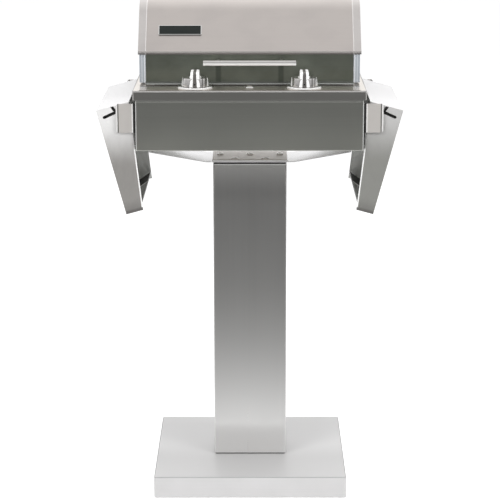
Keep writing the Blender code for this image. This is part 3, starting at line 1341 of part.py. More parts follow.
def build_brackets():
    # A front plate beside the housing, with a leg folded back along the housing side.
    leg_x = -(HOUSING_SIDE + SEAT_GAP)
    front = -BRACKET_FRONT
    tongue_rear = front + BRACKET_TONGUE_DEPTH
    line = filleted(
        [(-BRACKET_OUTER_X, front), (leg_x, front), (leg_x, tongue_rear), (leg_x, front + BRACKET_LEG_DEPTH)],
        [BRACKET_BEND, 0.0])
    surface = bent_surface(line, "XY", BRACKET_BOTTOM, BRACKET_TOP, metal_right=False)
    tongue_edge = next(edge for edge in surface.edges if all(
        abs(vert.co.z - BRACKET_BOTTOM) < 1e-6 and abs(vert.co.x - leg_x) < 1e-6
        and vert.co.y < tongue_rear + 1e-6 for vert in edge.verts))
    tongue = bmesh.ops.extrude_edge_only(surface, edges=[tongue_edge])["geom"]
    lowered = [item for item in tongue if isinstance(item, bmesh.types.BMVert)]
    bmesh.ops.translate(surface, vec=(0.0, 0.0, BRACKET_TONGUE_BOTTOM - BRACKET_BOTTOM), verts=lowered)
    corners = [vert for vert in surface.verts if abs(vert.co.x + BRACKET_OUTER_X) < 1e-6]
    round_corners(surface, corners, BRACKET_CORNER)
    front_left = thicken(mesh_object("shelf_bracket_front_left", surface, "satin"), BRACKET_WALL)
    leg_face = -(HOUSING_SIDE + SEAT_GAP + BRACKET_WALL)
    screws = [(place, axis) for place, axis in bracket_screw_places() if place[0] < 0.0 and place[1] < 0.0]
    add_fasteners(
        front_left,
        headed(BRACKET_SCREW_HEAD_RADIUS, BRACKET_SCREW_HEAD_HEIGHT, BRACKET_SCREW_RADIUS,
               BRACKET_WALL + HOUSING_WALL + BRACKET_SCREW_TAIL),
        [((leg_face, y, z), axis) for (x, y, z), axis in screws], HOLE_SIDES)

    # The pin stands on the back of the plate and ends in a head inside the shelf flange.
    plate = BRACKET_FRONT - BRACKET_WALL
    head = plate - (SHELF_DEPTH / 2 - SHELF_WALL - RUNNING_GAP)
    pin = [
        (0.0, 0.0), (SHELF_PIN_RADIUS, 0.0), (SHELF_PIN_RADIUS, -head), (SHELF_PIN_HEAD_RADIUS, -head),
        (SHELF_PIN_HEAD_RADIUS, -head - SHELF_PIN_HEAD_HEIGHT), (0.0, -head - SHELF_PIN_HEAD_HEIGHT)]
    pin = [(radius, height + (0.001 if height == 0.0 else 0.0)) for radius, height in pin]
    add_fasteners(front_left, pin, [((-SHELF_PIVOT_X, -plate, SHELF_PIVOT_Z), (0, -1, 0))])
    mirrored(front_left, "shelf_bracket_front_right", "satin")
    rear_left = mirrored(front_left, "shelf_bracket_rear_left", "satin", axis=1)
    mirrored(rear_left, "shelf_bracket_rear_right", "satin")

    # The folded shelf leans on a strip along the foot of the housing side.
    edge_x = shelf_edge_x(SHELF_BUMPER_Z - SHELF_BUMPER_HEIGHT / 2)
    half = SHELF_DEPTH / 2
    for name, side in (("left", -1), ("right", 1)):
        low_x, high_x = sorted((side * (HOUSING_SIDE + SEAT_GAP), side * (edge_x - SEAT_GAP)))
        plain_box(
            "shelf_bumper_" + name, (low_x, -half, SHELF_BUMPER_Z - SHELF_BUMPER_HEIGHT / 2),
            (high_x, half, SHELF_BUMPER_Z + SHELF_BUMPER_HEIGHT / 2), "rubber")


def shelf_edge_x(z):
    # Distance of the hanging shelf's inner flange edge from the middle, at a height.
    rise = LEDGE_HEIGHT - SHELF_PIVOT_Z
    turn = Matrix.Rotation(SHELF_FOLD, 2)
    start = turn @ Vector((SHELF_PIVOT_IN, rise - SHELF_INNER_FLANGE))
    end = turn @ Vector((SHELF_PIVOT_IN - SHELF_LENGTH, rise - SHELF_OUTER_FLANGE))
    share = (z - SHELF_PIVOT_Z - start.y) / (end.y - start.y)
    return SHELF_PIVOT_X - (start.x + share * (end.x - start.x))


# Grease tray and its runners

def build_tray():
    pivot = pivot_at("grease_tray_axis", (0.0, HOUSING_REAR, TRAY_BOTTOM))
    face_y = HOUSING_REAR + SEAT_GAP + REAR_PANEL_THICKNESS + SEAT_GAP
    tray = folded_box(
        "grease_tray", (-TRAY_WIDTH / 2, TRAY_FRONT, TRAY_BOTTOM),
        (TRAY_WIDTH / 2, face_y + TRAY_FACE_THICKNESS / 2, TRAY_BOTTOM + TRAY_HEIGHT),
        [((0, 0, 1), 0.0)], TRAY_WALL, 0.004, "brushed")
    face_z = TRAY_BOTTOM + TRAY_HEIGHT / 2
    half = TRAY_FACE_WIDTH / 2
    face = bmesh.new()
    put_box(
        face, (-half, face_y, face_z - TRAY_FACE_HEIGHT / 2 + 0.002),
        (half, face_y + TRAY_FACE_THICKNESS, face_z + TRAY_FACE_HEIGHT / 2))
    join(tray, face)
    pull = bmesh.new()
    put_box(
        pull, (-TRAY_PULL_WIDTH / 2, face_y + 0.0005, face_z + TRAY_FACE_HEIGHT / 2 - 0.004),
        (TRAY_PULL_WIDTH / 2, face_y + TRAY_FACE_THICKNESS + TRAY_PULL_REACH,
         face_z + TRAY_FACE_HEIGHT / 2 - 0.0025))
    hang_on(join(tray, pull), pivot)

    ledge_top = TRAY_BOTTOM - SEAT_GAP
    guide_x = TRAY_WIDTH / 2 + SEAT_GAP
    ledge_x = guide_x - RUNNER_LEDGE
    foot_z = HOUSING_FLOOR_TOP + SEAT_GAP
    line = [
        (ledge_x - RUNNER_FOOT, foot_z + RUNNER_WALL), (ledge_x, foot_z + RUNNER_WALL), (ledge_x, ledge_top),
        (guide_x, ledge_top), (guide_x, ledge_top + RUNNER_GUIDE_HEIGHT)]
    runner = bent_sheet(
        "tray_runner_right", line, "XZ", TRAY_FRONT, HOUSING_REAR - HOUSING_WALL - SEAT_GAP, RUNNER_WALL,
        "brushed")
    mirrored(runner, "tray_runner_left", "brushed")


# Supply lead

def build_supply_lead():
    # It comes in through the gland, rises beside the tub and ends at the left control.
    side_x = -(TUB_WIDTH / 2 + TUB_WALL + HOUSING_SIDE - HOUSING_WALL) / 2
    start_y = HOUSING_REAR + REAR_PANEL_THICKNESS + GLAND_PROUD
    bend_y = HOUSING_REAR - LEAD_SETBACK
    end_x = -(KNOB_X + CONTROL_WIDTH / 2 + SEAT_GAP)
    front_bend = LEAD_BEND * 2
    flat = filleted(
        [(GLAND_X, start_y), (GLAND_X, bend_y), (side_x, bend_y), (side_x, KNOB_Y), (end_x, KNOB_Y)],
        [LEAD_BEND, LEAD_BEND, front_bend])
    rise_start = bend_y - LEAD_BEND
    rise_end = KNOB_Y + front_bend
    route = []
    for point in flat:
        share = (rise_start - point.y) / (rise_start - rise_end)
        height = GLAND_Z + min(max(share, 0.0), 1.0) * (LEAD_END_Z - GLAND_Z)
        route.append((point.x, point.y, height))
    tube("supply_lead", route, LEAD_RADIUS, "copper_lead")


build_pedestal()
build_cradle()
build_housing()
build_top_frame()
build_firebox()
build_controls()
build_hood()
build_hinges()
build_shelves()
build_brackets()
build_tray()
build_supply_lead()
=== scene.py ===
import bpy
import math
import numpy as np
from mathutils import Matrix, Vector


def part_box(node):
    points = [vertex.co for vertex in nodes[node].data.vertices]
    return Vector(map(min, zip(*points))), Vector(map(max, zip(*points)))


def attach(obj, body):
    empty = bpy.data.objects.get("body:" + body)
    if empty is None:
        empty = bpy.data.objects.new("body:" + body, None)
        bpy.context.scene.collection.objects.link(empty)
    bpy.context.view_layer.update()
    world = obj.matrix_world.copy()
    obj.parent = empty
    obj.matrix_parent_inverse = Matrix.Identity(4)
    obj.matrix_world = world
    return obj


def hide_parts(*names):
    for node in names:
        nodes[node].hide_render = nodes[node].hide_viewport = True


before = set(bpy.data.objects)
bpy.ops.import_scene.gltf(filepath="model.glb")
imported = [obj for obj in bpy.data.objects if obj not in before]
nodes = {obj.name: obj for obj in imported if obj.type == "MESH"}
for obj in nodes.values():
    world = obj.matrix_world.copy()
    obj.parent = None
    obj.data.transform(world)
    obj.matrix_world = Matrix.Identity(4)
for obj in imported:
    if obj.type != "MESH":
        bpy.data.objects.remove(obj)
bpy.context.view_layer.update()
print("stage: frame loaded,", len(nodes), "nodes")


viewSettings = {
    "focalPixels": 1878.4,
    "framePixels": 500.0,
    "sensor": 36.0,
    "pitch": 13.325,
    "yaw": 0.173,
    "roll": 0.081,
    "place": (0.0128, -4.2803, 1.5459),
}


def addCamera(settings):
    # forward, sideways and up directions from yaw, pitch and roll, set as the camera's columns
    pitch, yaw, roll = (math.radians(settings[k]) for k in ("pitch", "yaw", "roll"))
    side = Vector((math.cos(yaw), math.sin(yaw), 0))
    ahead = Vector((-math.sin(yaw), math.cos(yaw), 0))
    forward = math.cos(pitch) * ahead - math.sin(pitch) * Vector((0, 0, 1))
    up = math.sin(pitch) * ahead + math.cos(pitch) * Vector((0, 0, 1))
    right = math.cos(roll) * side - math.sin(roll) * up
    above = math.sin(roll) * side + math.cos(roll) * up
    lens = bpy.data.cameras.new("photoCamera")
    lens.sensor_width = settings["sensor"]
    lens.lens = settings["focalPixels"] * settings["sensor"] / settings["framePixels"]
    camera = bpy.data.objects.new("photoCamera", lens)
    bpy.context.scene.collection.objects.link(camera)
    turn = Matrix((right, above, -forward)).transposed().to_4x4()
    camera.matrix_world = Matrix.Translation(Vector(settings["place"])) @ turn
    bpy.context.scene.camera = camera


addCamera(viewSettings)


class Value:
    # a socket with arithmetic: each operator adds one Math node and gives its output back
    def __init__(self, tree, socket):
        self.tree, self.socket = tree, socket

    def maths(self, operation, first, second=None, third=None):
        made = self.tree.nodes.new("ShaderNodeMath")
        made.operation = operation
        for place, term in enumerate((first, second, third)):
            if isinstance(term, Value):
                self.tree.links.new(term.socket, made.inputs[place])
            elif term is not None:
                made.inputs[place].default_value = term
        return Value(self.tree, made.outputs[0])

    def __add__(self, other):
        return self.maths("ADD", self, other)

    __radd__ = __add__

    def __sub__(self, other):
        return self.maths("SUBTRACT", self, other)

    def __rsub__(self, other):
        return self.maths("SUBTRACT", other, self)

    def __mul__(self, other):
        return self.maths("MULTIPLY", self, other)

    __rmul__ = __mul__

    def __truediv__(self, other):
        return self.maths("DIVIDE", self, other)

    def __rtruediv__(self, other):
        return self.maths("DIVIDE", other, self)

    def __pow__(self, other):
        return self.maths("POWER", self, other)

    def __neg__(self):
        return self.maths("MULTIPLY", self, -1.0)

    def size(self):
        return self.maths("ABSOLUTE", self)

    def atMost(self, other):
        return self.maths("MINIMUM", self, other)

    def atLeast(self, other):
        return self.maths("MAXIMUM", self, other)

    def above(self, level, softness):
        # 0 below level, 1 above it: a ramp of softness, rounded a little where it meets 1
        rounding = 0.05
        return self.maths("SMOOTH_MIN", (self - level) / softness + 0.5, 1.0, rounding).atLeast(0.0)

    def under(self, level, softness):
        # the same the other way round: 1 below level
        return (level - self).above(0.0, softness)

    def between(self, low, high):
        # 0 at low, 1 at high, eased at both
        made = ((self - low) / (high - low)).atLeast(0.0).atMost(1.0)
        return made * made * (3.0 - 2.0 * made)

    def near(self, middle, half, softness):
        # 1 within half of the middle, falling to 0 over softness
        return 1.0 - (self - middle).size().between(half, half + softness)


class Finish:
    # one material or world tree, with one method for every node that isn't arithmetic
    def __init__(self, tree):
        self.tree, self.look = tree, None
        tree.nodes.clear()

    def node(self, kind, settings, sockets, out=0):
        made = self.tree.nodes.new(kind)
        for name, value in settings.items():
            setattr(made, name, value)
        for name, value in sockets.items():
            if isinstance(value, Value):
                self.tree.links.new(value.socket, made.inputs[name])
            else:
                made.inputs[name].default_value = value
        return Value(self.tree, made.outputs[out]) if len(made.outputs) else None

    def blend(self, factor, first, second):
        # colour mix by a factor; the Mix node's colour sockets are its 7th and 8th, and its 3rd output
        ends = [(*end, 1.0) if isinstance(end, tuple) else end for end in (first, second)]
        return self.node("ShaderNodeMix", {"data_type": "RGBA"}, {0: factor, 6: ends[0], 7: ends[1]}, 2)

    def axes(self, source=None):
        # x, y and z as three values: of the point, or of another vector
        source = source or self.node("ShaderNodeTexCoord", {}, {}, "Object")
        first = self.node("ShaderNodeSeparateXYZ", {}, {"Vector": source})
        return tuple(Value(self.tree, socket) for socket in first.socket.node.outputs)

    def noise(self, scale, detail=2.0, stretch=(1.0, 1.0, 1.0)):
        point = self.node("ShaderNodeTexCoord", {}, {}, "Object")
        sized = {"Vector": point, "Scale": tuple(scale * s for s in stretch)}
        vector = self.node("ShaderNodeMapping", {}, sized)
        return self.node("ShaderNodeTexNoise", {}, {"Vector": vector, "Scale": 1.0, "Detail": detail})

    def clouds(self, start, gain, *noise):
        # what stands above start in a noise
        return (self.noise(*noise) - start).atLeast(0.0) * gain

    def ray(self, kind):
        return self.node("ShaderNodeLightPath", {}, {}, "Is " + kind + " Ray")

    def coat(self, mask, tone, rough=None, metallic=None):
        # one coat over the look where the mask is 1; what it doesn't give stays as it is below
        def mixed(below, over):
            return below if over is None else below + mask * (over - below)

        toneBelow, roughBelow, metallicBelow = self.look
        over = self.blend(mask, toneBelow, tone)
        self.look = over, mixed(roughBelow, rough), mixed(metallicBelow, metallic)


white = (1.0, 1.0, 1.0, 1.0)

worldSettings = {
    "ambient": 0.55,
    "front": 0.16,
    "rise": 0.75,
    "behind": 0.80,
    "beside": 0.38,
    "besideRange": (0.45, 0.85),
}


def addWorld(settings):
    # white to the camera, an even grey to diffuse light, and a soft gradient in reflections
    world = bpy.data.worlds.new("softStudio")
    world.use_nodes = True
    bpy.context.scene.world = world
    finish = Finish(world.node_tree)
    x, y, z = finish.axes(finish.node("ShaderNodeTexCoord", {}, {}, "Generated"))
    mirrored = settings["front"] + z.atLeast(0.0) * settings["rise"] + y.atLeast(0.0) * settings["behind"]
    mirrored = mirrored + x.size().between(*settings["besideRange"]) * settings["beside"]
    plain = (finish.ray("Camera") + finish.ray("Transmission")).atMost(1.0)
    glossy = finish.ray("Glossy")
    other = glossy * mirrored + (1.0 - glossy) * settings["ambient"]
    strength = plain + (1.0 - plain) * other
    shade = finish.node("ShaderNodeBackground", {}, {"Color": white, "Strength": strength})
    finish.node("ShaderNodeOutputWorld", {}, {"Surface": shade})


floorSettings = {
    "half": 14.0,
    "points": 9,
    "drop": 0.0002,
    "pale": 0.80,
    "paler": 0.816,
    "grain": 3.0,
    "cameraLift": 0.55,
    "near": 1.02,
    "far": 0.15,
    "reach": 1.25,
}


def addFloor(settings):
    # a flat grid; seen in reflections it glows with a painted pool of light that fades with the distance from
    # the foot
    count = settings["points"]
    steps = np.linspace(-settings["half"], settings["half"], count)
    across, along = np.meshgrid(steps, steps)
    points = np.stack([across, along, np.full_like(across, -settings["drop"])], axis=-1)
    index = np.arange(count * count).reshape(count, count)
    quads = np.stack([index[:-1, :-1], index[:-1, 1:], index[1:, 1:], index[1:, :-1]], axis=-1)
    mesh = bpy.data.meshes.new("floor")
    mesh.from_pydata(points.reshape(-1, 3).tolist(), [], quads.reshape(-1, 4).tolist())
    floor = bpy.data.objects.new("floor", mesh)
    bpy.context.scene.collection.objects.link(floor)
    material = bpy.data.materials.new("paleFloor")
    material.use_nodes = True
    finish = Finish(material.node_tree)
    x, y = finish.axes()[:2]
    ratio = (x * x + y * y) ** 0.5 / settings["reach"]
    fade = 1.0 / (1.0 + ratio * ratio)
    mirrored = settings["far"] + fade * fade * (settings["near"] - settings["far"])
    tone = finish.blend(finish.noise(settings["grain"]), (settings["pale"],) * 3, (settings["paler"],) * 3)
    lit = finish.node("ShaderNodeBsdfDiffuse", {}, {"Color": tone})
    seen = finish.ray("Camera") * settings["cameraLift"]
    lift = finish.node("ShaderNodeEmission", {}, {"Color": white, "Strength": seen})
    both = finish.node("ShaderNodeAddShader", {}, {0: lit, 1: lift})
    glow = finish.node("ShaderNodeEmission", {}, {"Color": white, "Strength": mirrored})
    mixed = finish.node("ShaderNodeMixShader", {}, {0: finish.ray("Glossy"), 1: both, 2: glow})
    finish.node("ShaderNodeOutputMaterial", {}, {"Surface": mixed})
    mesh.materials.append(material)


studioSettings = {
    "aim": (0.0, 0.0, 0.65),
    "lamps": {
        "keyLamp": {"place": (-2.7, -3.0, 3.3), "width": 2.2, "power": 88.0},
        "fillLamp": {"place": (2.9, -2.6, 2.8), "width": 2.2, "power": 62.0},
        "topLamp": {"place": (0.3, -0.5, 4.3), "width": 2.6, "power": 66.0},
    },
}


def addStudioLamps(settings):
    # square lamps that point at the middle of the grill and don't show in reflections
    for name, given in settings["lamps"].items():
        light = bpy.data.lights.new(name, "AREA")
        light.shape = "SQUARE"
        light.size = given["width"]
        light.energy = given["power"]
        lamp = bpy.data.objects.new(name, light)
        bpy.context.scene.collection.objects.link(lamp)
        lamp.location = given["place"]
        lamp.visible_glossy = False
        aim = Vector(settings["aim"]) - Vector(given["place"])
        lamp.rotation_euler = aim.to_track_quat("-Z", "Y").to_euler()


addWorld(worldSettings)
addFloor(floorSettings)
addStudioLamps(studioSettings)
bpy.context.scene.view_settings.view_transform = "Standard"
print("stage: camera, world, floor and lamps")


def newMaterial(name):
    material = bpy.data.materials.new(name)
    material.use_nodes = True
    return material, Finish(material.node_tree)


def closeMaterial(material, finish, look, wearAndPaintedLight=None, others=None):
    # a look is tone, roughness and metallic; the wear and the painted light and shade lay their coats over it
    finish.look = look
    if wearAndPaintedLight:
        wearAndPaintedLight(finish, *finish.axes())
    tone, rough, metallic = finish.look
    sockets = {"Base Color": tone, "Roughness": rough, "Metallic": metallic, **(others or {})}
    shade = finish.node("ShaderNodeBsdfPrincipled", {}, sockets)
    finish.node("ShaderNodeOutputMaterial", {}, {"Surface": shade})
    return material


def toned(colour, factor, lift=0.0):
    return tuple(min(1.0, c * factor + lift) for c in colour)


def raised(finish, height, settings):
    sockets = {"Strength": settings["bump"], "Distance": settings["depth"], "Height": height}
    return finish.node("ShaderNodeBump", {}, sockets)


brushSettings = {
    "fine": (6.0, 900.0, 3.0),      # scale along and across the lines, and detail
    "broad": (2.0, 210.0, 2.0),
    "fineShare": 0.6,
    "cloud": (9.0, 3.0),            # scale and detail
    "dulled": 0.9,
    "spread": 0.12,
    "bump": 0.04,
    "depth": 0.0004,
}


def brushedMetal(name, colour, roughness, along, grain=0.05, metallic=1.0, smearAndPaintedReflection=0.06, wearAndPaintedLight=None):
    # hair lines drawn out along one axis, a slow cloud of wiped marks, and a faint bump from the lines
    settings = brushSettings
    material, finish = newMaterial(name)

    def drawnOut(slow, fast, detail):
        return finish.noise(1.0, detail, [slow if axis == along else fast for axis in "xyz"])

    fine, broad = drawnOut(*settings["fine"]), drawnOut(*settings["broad"])
    cloud = finish.noise(*settings["cloud"])
    lines = fine * settings["fineShare"] + broad * (1.0 - settings["fineShare"])
    tone = finish.blend(lines, toned(colour, 1.0 - grain), toned(colour, 1.0 + grain))
    tone = finish.blend(cloud * smearAndPaintedReflection * 2.0, tone, toned(colour, settings["dulled"]))
    rough = roughness + (lines - 0.5) * settings["spread"] + (cloud - 0.5) * smearAndPaintedReflection
    others = {"Normal": raised(finish, lines, settings)}
    return closeMaterial(material, finish, (tone, rough, metallic), wearAndPaintedLight, others)


paintSettings = {"peel": (420.0, 2.0), "cloud": (6.0, 3.0), "spread": 0.10, "bump": 0.05, "depth": 0.0003}


def paintedSheet(name, colour, roughness, speckle=0.03, gloss=0.5, wearAndPaintedLight=None):
    # fine orange-peel of a coating with a slow variation of tone
    settings = paintSettings
    material, finish = newMaterial(name)
    peel, cloud = finish.noise(*settings["peel"]), finish.noise(*settings["cloud"])
    tone = finish.blend(cloud, toned(colour, 1.0 - speckle), toned(colour, 1.0 + speckle))
    rough = roughness + (cloud - 0.5) * settings["spread"]
    others = {"Normal": raised(finish, peel, settings), "Specular IOR Level": gloss}
    return closeMaterial(material, finish, (tone, rough, 0.0), wearAndPaintedLight, others)


polishSettings = {"wiped": (60.0, 4.0, (1.0, 0.3, 1.0)), "cloud": (20.0, 2.0), "dulled": 0.97, "spread": 0.10}


def polishedMetal(name, colour, roughness, wearAndPaintedLight=None):
    # bright metal with faint wiping marks
    settings = polishSettings
    material, finish = newMaterial(name)
    tone = finish.blend(finish.noise(*settings["cloud"]), toned(colour, settings["dulled"]), colour)
    rough = roughness + (finish.noise(*settings["wiped"]) - 0.5) * settings["spread"]
    return closeMaterial(material, finish, (tone, rough, 1.0), wearAndPaintedLight)


mouldSettings = {"detail": 3.0, "lighter": 1.35, "lift": 0.004, "spread": 0.12, "bump": 0.12, "depth": 0.0003}


def mouldedPlastic(name, colour, roughness, texture=300.0):
    # spark-eroded mould texture
    settings = mouldSettings
    material, finish = newMaterial(name)
    pits = finish.noise(texture, settings["detail"])
    tone = finish.blend(pits, colour, toned(colour, settings["lighter"], settings["lift"]))
    rough = roughness + (pits - 0.5) * settings["spread"]
    others = {"Normal": raised(finish, pits, settings)}
    return closeMaterial(material, finish, (tone, rough, 0.0), None, others)


glassSettings = {"cloud": (120.0, 1.0), "dulled": 0.8, "coat": 0.6}


def lampGlass(name, colour, roughness):
    # a slow cloud of tone under a clear coat
    settings = glassSettings
    material, finish = newMaterial(name)
    tone = finish.blend(finish.noise(*settings["cloud"]), colour, toned(colour, settings["dulled"]))
    return closeMaterial(material, finish, (tone, roughness, 0.0), None, {"Coat Weight": settings["coat"]})


# Wear and painted light and shade are laid on in coats of tone, roughness and metallic. Places are in metres
# on the piece at rest:
# (level, softness) for above and under, (low, high) for between, (middle, half, softness) for near.
# Clouds are start, gain and the noise's scale, detail and stretch.
endMarks = {
    "strip": (0.1035, 0.0006),
    "stripCoat": ((0.40, 0.435, 0.475), 0.45, 0.2),
    "innerLine": (0.2345, 0.0009, 0.0008),
    "middleLine": (0.2405, 0.0008, 0.0012),
    "middleShare": 0.5,
    "outerEdge": (0.2464, 0.2474),
    "lineHighlightCoat": ((0.68, 0.70, 0.72), 0.40, 0.1),
}


def endStripAndHighlights(finish, x, y, z):
    # the strip that faces forwards is duller than the side, with painted highlights: a line, a fainter one
    # and its edge
    marks, side = endMarks, x.size()
    strip = (-y).above(*marks["strip"])
    finish.coat(strip, *marks["stripCoat"])
    lines = side.near(*marks["innerLine"]).atLeast(side.near(*marks["middleLine"]) * marks["middleShare"])
    lines = lines.atLeast(side.between(*marks["outerEdge"]))
    finish.coat(strip * lines, *marks["lineHighlightCoat"])


slopeMarks = {
    "fold": (0.2314, 0.0006),
    "foldCoat": ((0.68, 0.65, 0.635), 0.38),
    "clouds": (0.46, 1.2, 12.0, 3.0, (1.0, 1.6, 1.6)),
    "cloudTone": (0.50, 0.465, 0.45),
    "seam": (0.2322, 0.0005, 0.0006),
    "seamShare": 0.7,
    "seamHighlightCoat": ((0.84, 0.82, 0.81), 0.40, 0.7),
    "bendFrom": (1.0068, 1.0112),
    "bendTo": (1.0120, 1.0130),
    "bendPaintedLightCoat": ((0.29, 0.275, 0.265), 0.40, 0.1),
}


def slopeCloudsAndPaintedLight(finish, x, y, z):
    # a paler band along each end with a painted highlight on its seam, slow clouds, and painted shade on the
    # bend at the foot
    marks, side = slopeMarks, x.size()
    finish.coat(side.above(*marks["fold"]), *marks["foldCoat"])
    finish.coat(finish.clouds(*marks["clouds"]), marks["cloudTone"])
    finish.coat(side.near(*marks["seam"]) * marks["seamShare"], *marks["seamHighlightCoat"])
    bend = z.between(*marks["bendFrom"]) * (1.0 - z.between(*marks["bendTo"]))
    finish.coat(bend, *marks["bendPaintedLightCoat"])


frontMarks = {
    "clouds": (0.42, 1.8, 26.0, 3.0, (0.7, 1.0, 1.0)),
    "cloudTone": (0.20, 0.225, 0.185),
    "postReflectionAcross": (0.070, 0.0035, 0.0050),
    "postReflectionTop": (0.9825, 0.9885),
    "postReflectionShare": 0.6,
    "postReflectionCoat": ((0.10, 0.115, 0.10), 0.45),
}


def frontCloudsAndPostReflections(finish, x, y, z):
    # slow dark clouds, and under each post a soft dark band: the post's painted reflection
    marks = frontMarks
    finish.coat(finish.clouds(*marks["clouds"]), marks["cloudTone"])
    smearAndPaintedReflection = x.size().near(*marks["postReflectionAcross"]) * (1.0 - z.between(*marks["postReflectionTop"]))
    finish.coat(smearAndPaintedReflection * marks["postReflectionShare"], *marks["postReflectionCoat"])


lipMarks = {"nose": (0.1165, 0.1178), "noseHighlightCoat": ((0.37, 0.38, 0.37), 0.42, 0.3)}


def lipNoseHighlight(finish, x, y, z):
    # the nose of the drip lip carries a painted highlight
    finish.coat((-y).between(*lipMarks["nose"]), *lipMarks["noseHighlightCoat"])


knobMarks = {
    "aside": 0.1205,
    "forward": 0.157,
    "grip": (0.0130, 0.0002),
    "gripFoot": (0.9418, 0.9420),
    "strip": (0.0048, 0.0004),
    "stripFoot": 0.9420,
    "stripTaper": 0.045,
    "stripFront": (0.020, 0.022),
    "crown": (0.9745, 0.9752),
    "skirtFoot": 0.943,
    "skirtTaper": 0.08,
    "pastSkirt": (0.0299, 0.0003),
    "overRim": (0.9612, 0.0003),
    "overDish": (0.9584, 0.0003),
    "inDish": (0.0240, 0.0003),
    "streaks": ((0.0170, 0.0009, 0.0009), (0.0228, 0.0007, 0.0009)),
    "streakShare": 0.8,
    "skirtSides": (0.0262, 0.0272),
    "streakCoat": ((0.16, 0.155, 0.15), 0.40),
    "sideHighlightCoat": ((0.90, 0.895, 0.885), 0.35, 0.1),
    "gripHighlightCoat": ((0.97, 0.965, 0.955), 0.30, 0.05),
    "stripCoat": ((0.27, 0.255, 0.24), 0.34, 0.75),
    "ringFront": (0.006, 0.014),
    "ringHighlightCoat": ((0.80, 0.79, 0.78), 0.30, 0.25),
}


def knobFinishAndHighlights(finish, x, y, z):
    # the grip's flanks carry a painted highlight round a satin strip that runs up its front and over its
    # crown;
    # the skirt is satin, with painted highlights on its sides and two darker streaks on its right
    marks = knobMarks
    offset, forward = x - x.maths("SIGN", x) * marks["aside"], -y - marks["forward"]
    across, radial = offset.size(), (offset * offset + forward * forward) ** 0.5
    grip = across.under(*marks["grip"]) * z.between(*marks["gripFoot"])
    strip = (across + (z - marks["stripFoot"]) * marks["stripTaper"]).under(*marks["strip"])
    strip = strip * forward.between(*marks["stripFront"]).atLeast(z.between(*marks["crown"]))
    outside = (radial + (z - marks["skirtFoot"]) * marks["skirtTaper"]).above(*marks["pastSkirt"])
    outside = outside.atLeast(z.above(*marks["overRim"]))
    outside = outside.atLeast(z.above(*marks["overDish"]) * radial.under(*marks["inDish"]))
    first, second = (offset.near(*streak) for streak in marks["streaks"])
    finish.coat(first.atLeast(second) * marks["streakShare"], *marks["streakCoat"])
    finish.coat(across.between(*marks["skirtSides"]), *marks["sideHighlightCoat"])
    finish.coat(grip * outside, *marks["gripHighlightCoat"])
    finish.coat(strip * grip * outside, *marks["stripCoat"])


def bezelHighlight(finish, x, y, z):
    # the front of each ring carries a painted highlight
    front = (-y - knobMarks["forward"]).between(*knobMarks["ringFront"])
    finish.coat(front, *knobMarks["ringHighlightCoat"])


handleMarks = {"underside": (0.9905, 0.9935), "undersideReflectionCoat": ((0.94, 0.93, 0.91), 0.40, 0.15)}


def handleUndersideReflection(finish, x, y, z):
    # the underside is paler than the top: a painted reflection
    finish.coat(1.0 - z.between(*handleMarks["underside"]), *handleMarks["undersideReflectionCoat"])


frameMarks = {
    "top": (0.9345, 0.9358),
    "topTone": (0.84, 0.79, 0.73),
    "bendHeight": (0.9335, 0.9350),
    "frontBend": (0.1930, 0.1968),
    "endBend": (0.2540, 0.2556),
    "cornerBend": (0.1950, 0.1966),
    "cornerShare": 0.8,
    "bendPaintedLightCoat": ((0.42, 0.41, 0.40), 0.42, 0.15),
    "cutEdge": (0.9160, 0.9166),
    "cutCoat": ((0.16, 0.16, 0.155), 0.5, 0.4),
}


def frameFinishAndHighlights(finish, x, y, z):
    # a warmer top, painted highlights on the bends along the front, the ends and the corners, and a dark cut
    # edge below
    marks, bendHeight = frameMarks, z.between(*frameMarks["bendHeight"])
    front = (-y).between(*marks["frontBend"]) * bendHeight
    end = x.size().between(*marks["endBend"])
    corner = end * (-y).between(*marks["cornerBend"]) * marks["cornerShare"]
    finish.coat(z.between(*marks["top"]), marks["topTone"])
    finish.coat(front.atLeast(end * bendHeight).atLeast(corner), *marks["bendPaintedLightCoat"])
    finish.coat(1.0 - z.between(*marks["cutEdge"]), *marks["cutCoat"])


ledgeMarks = {
    "glint": (-0.1475, 0.0035, 0.0020),
    "glintShare": 0.6,
    "glintTone": (0.98, 0.95, 0.90),
    "shade": (-0.1340, 0.0042, 0.0012),
    "shadeCoat": ((0.02, 0.02, 0.02), 0.6, 0.2),
}


def ledgeShadowAndHighlight(finish, x, y, z):
    # a painted shadow where the hood closes on the plate, with a painted highlight in front of it
    finish.coat(y.near(*ledgeMarks["glint"]) * ledgeMarks["glintShare"], ledgeMarks["glintTone"])
    finish.coat(y.near(*ledgeMarks["shade"]), *ledgeMarks["shadeCoat"])


housingMarks = {
    "reflectionTop": (0.795, 0.905),
    "cloud": (7.0, 3.0, (1.0, 1.0, 0.5)),
    "reflectionShare": 0.25,
    "reflectionTone": (0.90, 0.91, 0.83),
    "front": (0.1935, 0.1950),
    "corner": (0.2488, 0.2502),
    "bottom": (0.8042, 0.8052),
    "bottomShare": 0.4,
    "bendPaintedLightCoat": ((0.56, 0.565, 0.56), 0.42, 0.1),
    "underFascia": (0.9125, 0.0012, 0.0012),
    "underShare": 0.2,
    "underPaintedLightCoat": ((0.60, 0.60, 0.58), 0.4, 0.4),
}


